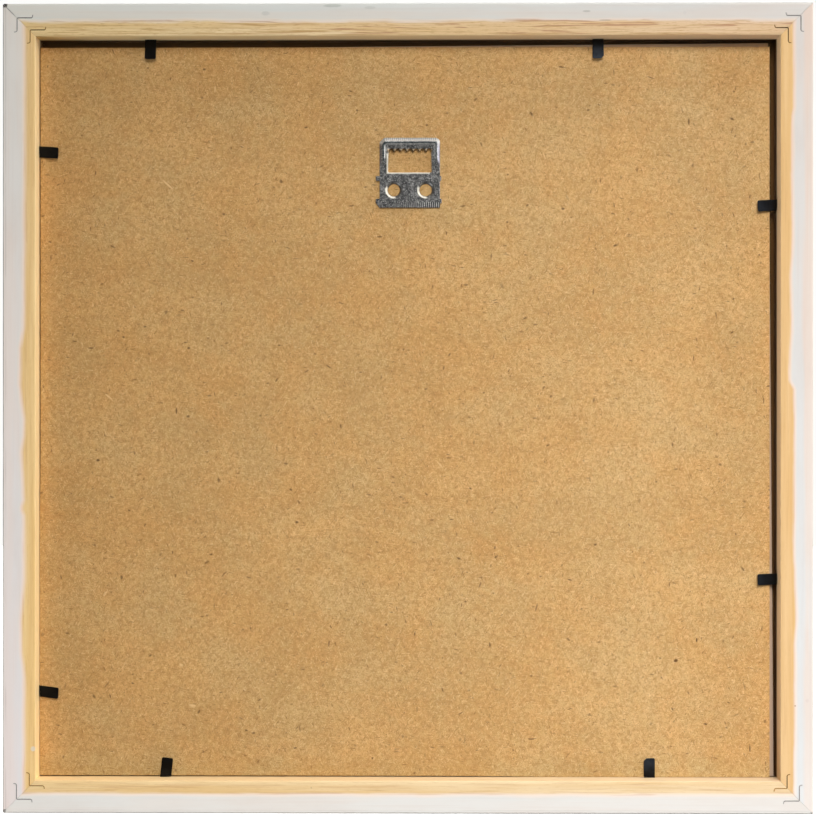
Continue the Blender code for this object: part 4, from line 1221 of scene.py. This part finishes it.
def hangerMasks(plan):
    # for each point of the plate, how much it has of each kind of wear, painted shade and painted highlight
    x, y = plan[:, 0], plan[:, 1]
    inset, beside = plateInset(plan), np.abs(x) - hanger["windowHalf"]
    raised = climb(y, hanger["raisedEnd"] - 3.0, hanger["raisedEnd"] + 1.0)
    # painted shade on the teeth's left flanks, and on the teeth's tips the board's warm colour as a painted
    # reflection
    flank = (0.69 + 0.266 * np.clip(-y / hanger["toothDepth"], 0, 1) - toothPhase(x) + 0.5) % 1 - 0.5
    inTeeth = climb(y, 0.35, 0.05) * climb(y, -2.1, -1.8) * (beside < 0.3)
    # painted highlight on the outer slopes at the top, and painted shade down the sides
    slope = raised * climb(inset, 1.5, 1.1)
    shade = np.where(x > 0, (inset < 1.6) * (4.6 - y) / 4.6, (inset < 1.0) * (3.2 - y) / 2.0)
    # painted highlight on the lip rolled round the window's foot and left side
    off = np.maximum(beside, hanger["windowFoot"] - y)
    lip = np.clip(1.4 - np.abs(off - 0.2) / 0.55, 0, 1) * climb(y, -2.2, -3.2)
    lip = lip * np.where(x > hanger["windowHalf"] - 1.0, 0.1, 1.0)
    # painted highlight on the collars at their lower left, and painted shade at their upper right
    collarShade, shineAt = 0.0, math.radians(52)
    for side in (-1, 1):
        reach = np.stack([x - side * hanger["holeSide"], y - hanger["holeDrop"]], -1)
        away = np.hypot(*reach.T).clip(0.1)
        toward = (-reach @ np.array([math.sin(shineAt), math.cos(shineAt)])) / away
        mouth = climb(away, 3.2, 3.5)
        lip = np.maximum(lip, mouth * climb(away, 4.75, 4.5) * climb(toward, 0.35, 0.6))
        collarShade = np.maximum(collarShade, mouth * climb(away, 5.1, 4.8) * climb(-toward, 0.2, 0.5))
    # coining stripes along the lower edge and the top of the rim
    foot = climb(x, -8.0, 1.0) * climb(y, hanger["ribTop"], hanger["ribTop"] - 0.8)
    head = climb(y, hanger["top"] - 0.9, hanger["top"] - 0.6) * (np.abs(x) < hanger["halfWidth"] - 2.2)
    return {
        "crest": raised * climb(np.abs(inset - 2.1), 0.65, 0) ** 0.5,
        # painted highlight: a thin bright line along the raised rim's inner step
        "stepHighlight": raised * climb(np.abs(inset - 2.9), 0.30, 0),
        "flankShade": inTeeth * np.exp(-(flank / 0.17) ** 2),
        "tip": inTeeth * climb(y, -0.15, -0.55),
        "slope": slope * climb(y, 0.5, 3.5),
        "shade": np.clip(shade, 0, 1) * climb(y, -11.0, -7.0),
        "lip": lip, "collarShade": collarShade, "striped": np.maximum(foot, 0.5 * head),
    }


zinc = {
    # bright is laid in specks and as painted highlight, lip as painted highlight, tip as the board's painted
    # reflection, and shade, groove, the flanks' colour and deep on the collars as painted shade
    "pale": (0.40, 0.395, 0.385), "deep": (0.095, 0.097, 0.10), "stain": (0.055, 0.050, 0.046),
    "bright": (0.92, 0.91, 0.87), "crest": (0.070, 0.105, 0.115), "tip": (0.66, 0.46, 0.23),
    "lip": (0.88, 0.84, 0.72), "shade": (0.17, 0.17, 0.205), "groove": (0.02, 0.02, 0.022),
    "flankShade": (0.030, 0.020, 0.012),
    # what lies over the plating: the noise, from, to, how strongly, the paint
    "layers": (
        ("grain", 0.2, 0.8, 0.80, "deep"), ("speck", 0.52, 0.64, 0.62, "bright"),
        ("stain", 0.56, 0.70, 0.7, "stain"),
    ),
    # and over that, in this order: the mask, how strongly, the paint; most of these are painted highlight and
    # painted shade
    "laid": (
        ("slope", 0.45, "bright"), ("crest", 0.7, "crest"), ("shade", 0.9, "shade"),
        ("groove", 0.85, "groove"), ("ribHighlight", 0.28, "bright"), ("stepHighlight", 0.92, "bright"),
        ("lip", 0.86, "lip"), ("collarShade", 0.7, "deep"), ("tip", 0.8, "tip"), ("flankShade", 0.96, "flankShade"),
    ),
    "metallic": 0.6,
}


def zincMaterial():
    m = newFinish("zincPlate")
    cloud = m.noise(m.spot, 420.0, 4.0, 0.65)
    speck = m.noise(m.spot, 1900.0, 3.0, 0.7)
    stain = m.noise(m.moved(m.spot, (3.0, 1.0, 2.0)), 300.0, 4.0, 0.7)
    noise = {"grain": m.cells(m.spot, 900.0)[1], "speck": speck, "stain": stain}
    color = m.mix(m.stretch(cloud, 0.36, 0.66), zinc["deep"], zinc["pale"])
    color = m.layers(color, zinc["layers"], noise, zinc)
    # masks from the mesh, and the coining's grooves and ribs where it is striped: painted shade in the
    # grooves, painted highlight on the ribs
    names = ("crest", "stepHighlight", "flankShade", "slope", "shade", "lip", "collarShade", "tip", "striped")
    mask = {name: m.attribute(name) for name in names}
    wave = m.line(m.split(m.spot)[0], -1.0, middle.x - hanger["seat"][0])
    wave = m.math("COSINE", m.times(wave, 2 * math.pi / (hanger["ribPitch"] * mm)))
    mask["groove"] = m.times(m.stretch(wave, 0.3, -0.3), mask["striped"])
    mask["ribHighlight"] = m.times(m.stretch(wave, -0.3, 0.3), mask["striped"])
    for name, strength, paint in zinc["laid"]:
        color = m.mix(m.times(mask[name], strength), color, zinc[paint])
    # where the lip and the tips carry painted highlight and reflection: less metallic and rougher
    worn = m.math("MAXIMUM", mask["lip"], mask["tip"])
    rough = m.line(m.stretch(speck, 0.3, 0.7), 0.22, 0.24)
    rough = m.plus(rough, m.stretch(stain, 0.52, 0.7, 0.0, 0.25))
    rough = m.minus(rough, m.times(mask["crest"], 0.12))
    for part, more in ((mask["flankShade"], 0.4), (mask["slope"], 0.16), (worn, 0.25)):
        rough = m.plus(rough, m.times(part, more))
    height = m.line(speck, 0.6, m.times(cloud, 0.6))
    metallic = m.line(worn, -zinc["metallic"], zinc["metallic"])
    return m.finish(color, rough, (height, 0.45, 0.10 * mm), {"Metallic": metallic})


addPiece("toothed_hanger", hangerMesh(), zincMaterial(), "frame", ["hanger_plate"])
print("hanger: pressed plate with teeth and collars")


def grooveMesh():
    # a ring round each collar that leaves it room in the board
    inner, outer = hanger["groove"]
    deep, proud = boardHigh.y - hanger["grooveDeep"], boardHigh.y + 1 * mm
    section = np.array([(inner, deep), (outer, deep), (outer, proud), (inner, proud)])
    spin = np.linspace(0, 2 * math.pi, hanger["spots"], endpoint=False)[:, None]
    shell = Shell()
    for side in (-1, 1):
        u = hanger["seat"][0] + side * hanger["holeSide"] * mm + section[:, 0] * np.cos(spin)
        v = hanger["seat"][1] + hanger["holeDrop"] * mm + section[:, 0] * np.sin(spin)
        index = shell.add(fromBack(u, v, section[:, 1]))
        shell.lattice(index, wrapRows=True, wrapColumns=True)
    return shell.mesh("collarGrooves")


boardMesh = slabMesh(
    "boardSurface", *middleOf(boardLow, boardHigh), (boardHigh.y, boardLow.y), board["cells"], board["edge"],
    wave=boardWave, rag=boardRag,
)
boardMesh = carve(boardMesh, grooveMesh(), 35)
addPiece("fibre_backing", boardMesh, boardMaterial(), "frame", ["backing_board"])
print("board: sawn fibreboard with the collars' grooves")


# Under the board: blank sheet, window mat and glass, seen from the front
front = {
    "matSide": 398.6 * mm, "matDrop": 0.5 * mm, "matTurn": math.asin(0.6 * 5.0 / 398.6),
    "windowHalf": 139.3 * mm, "bevel": 1.1 * mm, "soft": 0.12 * mm, "crisp": 0.05 * mm,
    "matReach": 3.4 * mm,         # further down, to the lower rail
    "matRest": 0.15 * mm,         # and this far above the rail's wall
    "matFrom": 20 * mm,           # from so far below the window, and over as much again
    "sheetSide": 298.6 * mm, "cockle": 0.10 * mm,
    "card": (0.82, 0.79, 0.735), "core": (0.90, 0.885, 0.85), "fibre": (0.66, 0.62, 0.56),
    "backShadeAndLight": ((0.56, 0.42, 0.31), (0.95, 0.76, 0.56)),      # mat's upper edge: beside the board, darker, with painted shade on the brown card back, and above it, lighter as painted light
    "paper": (0.80, 0.785, 0.75),
    "fibres": (
        ("grain", 0.42, 0.72, 0.30, "fibre"), ("hair", 0.60, 0.76, 0.25, "fibre"),
        ("age", 0.45, 0.75, 0.12, "fibre"),
    ),
    "glassEdge": 0.25 * mm, "glass": ((0.955, 0.985, 0.975), (0.93, 0.965, 0.95)),
}


def matMesh():
    # section of the card's border carried once round the square, mitred at the corners:
    # each section point is so far out from the centre, at such a level
    half, window, back, face = front["matSide"] / 2, front["windowHalf"], matHigh.y, matLow.y
    section = [
        (window, back, front["crisp"]), (half, back, front["soft"]), (half, face, front["soft"]),
        (window + front["bevel"], face, front["crisp"]),
    ]
    loop, _ = roundedLoop(section, 6 * mm, 3)
    t = np.linspace(-1, 1, 60, endpoint=False)
    rows = []
    for quarter in range(4):
        c, s = round(math.cos(quarter * math.pi / 2)), round(math.sin(quarter * math.pi / 2))
        out, along = np.broadcast_arrays(loop[None, :, 0], t[:, None] * loop[None, :, 0])
        rows.append(np.stack([out * c - along * s, out * s + along * c], -1))
    plan = np.concatenate(rows)
    c, s = math.cos(front["matTurn"]), math.sin(front["matTurn"])
    u = plan[..., 0] * c - plan[..., 1] * s
    v = plan[..., 0] * s + plan[..., 1] * c - front["matDrop"]
    start = -front["windowHalf"] - front["matFrom"]
    v = v - front["matReach"] * climb(v, start, start - front["matFrom"])
    v = np.maximum(v, front["matRest"] - openingHalf)
    shell = Shell()
    index = shell.add(fromBack(u, v, loop[None, :, 1]))
    shell.lattice(index, wrapRows=True, wrapColumns=True)
    return shell.mesh("matSurface", 25)


def cardMaterial(name, base, coarse, core=None):
    m = newFinish(name)
    grain = m.noise(m.spot, coarse, 4.0, 0.65, 0.4)
    hair = m.noise(m.scaled(m.spot, (1.0, 1.0, 0.3)), coarse * 3.1, 3.0, 0.6, 0.8)
    noise = {"grain": grain, "hair": hair, "age": m.noise(m.spot, 14.0, 3.0, 0.5)}
    color = m.layers(base, front["fibres"], noise, front)
    if core is not None:
        # the cut sides show the card's whiter core, and the upper one its brown back, with painted shade
        # beside the board and painted light above it
        facing = m.split(m.add("NewGeometry", output=1))[1]
        color = m.mix(m.stretch(m.math("ABSOLUTE", facing), 0.80, 0.95, 1.0, 0.0), color, core)
        above = m.stretch(m.split(m.spot)[2], boardHigh.z - 1 * mm, boardHigh.z + 1 * mm)
        color = m.mix(m.stretch(facing, 0.5, 0.8), color, m.mix(above, *front["backShadeAndLight"]))
    height = m.line(hair, 0.5, m.times(grain, 0.5))
    rough = m.stretch(grain, 0.3, 0.7, 0.74, 0.9)
    return m.finish(color, rough, (height, 0.3, 0.08 * mm))


def cockle(u, v):
    # the paper's slight waves, which cross at a slant
    waves = ripple(u + 0.4 * v, 31, longest=0.25) + ripple(v - 0.3 * u, 32, longest=0.25)
    return front["cockle"] * waves / 4


matFinish = cardMaterial("matCard", front["card"], 700.0, front["core"])
addPiece("window_mat", matMesh(), matFinish, "frame", ["mat_board"])

sheetMesh = slabMesh(
    "sheetSurface", (front["sheetSide"],) * 2, (0.0, -front["matDrop"]), (sheetHigh.y, sheetLow.y),
    70, front["crisp"], turn=front["matTurn"], wave=cockle,
)
paperFinish = cardMaterial("blankPaper", front["paper"], 1300.0)
addPiece("blank_sheet", sheetMesh, paperFinish, "frame", ["picture_sheet"])


def glassMaterial():
    # clear, faintly green, with a few dull smears
    m = newFinish("clearPane")
    smear = m.noise(m.scaled(m.spot, (1.0, 1.0, 2.4)), 21.0, 4.0, 0.6, 0.5)
    color = m.mix(m.stretch(smear, 0.4, 0.8), *front["glass"])
    rough = m.stretch(smear, 0.45, 0.85, 0.015, 0.06)
    return m.finish(color, rough, (smear, 0.04, 0.05 * mm), {"Transmission Weight": 1.0, "IOR": 1.5})


paneMesh = slabMesh(
    "paneSurface", *middleOf(glassLow, glassHigh), (glassHigh.y, glassLow.y), 12, front["glassEdge"],
    sharpDeg=10,
)
addPiece("glass_sheet", paneMesh, glassMaterial(), "frame", ["glass_pane"])
print("front: blank sheet, window mat and glass")


# Stage, light and camera
studio = {
    "floorReach": 2.0, "floorDrop": 0.2 * mm,
    "floor": ((0.93, 0.925, 0.91), (0.90, 0.895, 0.88)),
    "floorGlow": 0.60, "glowColor": (1.0, 1.0, 0.975),
    # the world as the camera sees it, and as it lights the frame
    "worldColor": (1.0, 0.995, 0.975), "worldSeen": 1.0, "worldLight": 0.12,
    # the key is a broad spot, up and to the right, that is aimed past the lower right corner
    "key": {
        "spot": (0.62, 0.88, 2.2), "aim": (0.80, -0.75, 0.0), "cone": 62, "radius": 0.95, "watts": 575.0,
        "tint": (1.0, 0.99, 0.97),
    },
    # place in the back view (u, v, w), size, watts, tint, whether it lights matt surfaces and glossy ones
    "lamps": {
        "rightRim": ((2.30, 0.30, 0.42), 0.7, 28.0, (1.0, 0.985, 0.96), True, True),
        "topRim": ((0.35, 2.30, 0.42), 0.7, 21.0, (1.0, 0.985, 0.96), True, True),
        "lowFill": ((-1.90, -1.90, 0.50), 1.2, 26.0, (0.97, 0.99, 1.0), True, True),
        "shine": ((1.50, 0.90, 1.30), 1.1, 9.0, (1.0, 1.0, 1.0), False, True),
        "cornerShine": ((1.75, 1.60, 0.40), 1.0, 30.0, (1.0, 1.0, 1.0), False, True),
        "frontWash": ((-1.45, 0.9, -1.35), 1.4, 52.0, (1.0, 0.99, 0.97), True, False),
    },
    "sensor": 36.0, "nearest": 0.02,
    "eyeX": 407.30, "eyeY": 408.25, "eyePerMm": 1.8475,      # the photo's frame, in its pixels
    "eyeTurn": 0.47,              # degrees that the camera stands to the right of square on
}


def floorMaterial():
    m = newFinish("paleFloor")
    cloud = m.noise(m.spot, 3.0, 4.0, 0.5)
    color = m.mix(m.stretch(cloud, 0.35, 0.7), *studio["floor"])
    glow = {"Emission Color": studio["glowColor"], "Emission Strength": studio["floorGlow"]}
    return m.finish(color, m.stretch(cloud, 0.3, 0.7, 0.6, 0.75), others=glow)


def stand(name, data):
    made = bpy.data.objects.new(name, data)
    bpy.context.scene.collection.objects.link(made)
    return made


floorMesh = bpy.data.meshes.new("floorSurface")
spin = np.linspace(0, 2 * math.pi, 96, endpoint=False)
rimPoints = np.stack([np.cos(spin), np.sin(spin)], -1) * studio["floorReach"]
floorLevel = low.z - studio["floorDrop"]
floorMesh.from_pydata([(x, y, floorLevel) for x, y in rimPoints.tolist()], [], [list(range(96))])
floorMesh.materials.append(floorMaterial())
floor = stand("studioFloor", floorMesh)
floor.visible_diffuse = floor.visible_glossy = False      # its glow is for the eye alone
floor.visible_shadow = False                              # and the low fill shines up through it

world = bpy.context.scene.world = bpy.data.worlds.new("studioWorld")
sky = Nodes(world)
seen = sky.stretch(sky.add("LightPath"), 0.0, 1.0, studio["worldLight"], studio["worldSeen"], smooth=False)
sky.put(sky.nodes["Background"].inputs["Color"], studio["worldColor"])
sky.put(sky.nodes["Background"].inputs["Strength"], seen)


def standLamp(lamp, spot, aim):
    made = stand(lamp.name, lamp)
    made.location = fromBack(*spot).tolist()
    way = Vector(fromBack(*aim).tolist()) - made.location
    made.rotation_euler = way.to_track_quat("-Z", "Y").to_euler()
    return made


key = bpy.data.lights.new("keySpot", "SPOT")
key.spot_size, key.spot_blend = math.radians(studio["key"]["cone"]), 1.0
key.shadow_soft_size, key.energy = studio["key"]["radius"], studio["key"]["watts"]
key.color = studio["key"]["tint"]
standLamp(key, studio["key"]["spot"], studio["key"]["aim"]).visible_glossy = False
for name, (spot, size, watts, tint, lightsMatt, lightsGloss) in studio["lamps"].items():
    lamp = bpy.data.lights.new(name, "AREA")
    lamp.shape, lamp.size, lamp.energy, lamp.color = "DISK", size, watts, tint
    lampStand = standLamp(lamp, spot, (0.0, 0.0, 0.0))
    lampStand.visible_diffuse, lampStand.visible_glossy = lightsMatt, lightsGloss

camera = bpy.data.cameras.new("photoCamera")
camera.sensor_width, camera.clip_start = studio["sensor"], studio["nearest"]
camera.lens = studio["sensor"] * photo["distance"] / (photo["side"] / studio["eyePerMm"] * mm)
eye = stand("photoCamera", camera)
offU = (photo["side"] / 2 - studio["eyeX"]) / studio["eyePerMm"] * mm
offV = (studio["eyeY"] - photo["side"] / 2) / studio["eyePerMm"] * mm
turn = math.radians(studio["eyeTurn"])
lookedAt = Vector(fromBack(offU, offV, backFace).tolist())
eye.location = lookedAt + Vector((-math.sin(turn), math.cos(turn), 0.0)) * photo["distance"]
eye.rotation_euler = (math.pi / 2, 0, math.pi + turn)
bpy.context.scene.camera = eye
bpy.context.scene.view_settings.view_transform = "Standard"
print("studio: floor, lamps and camera")
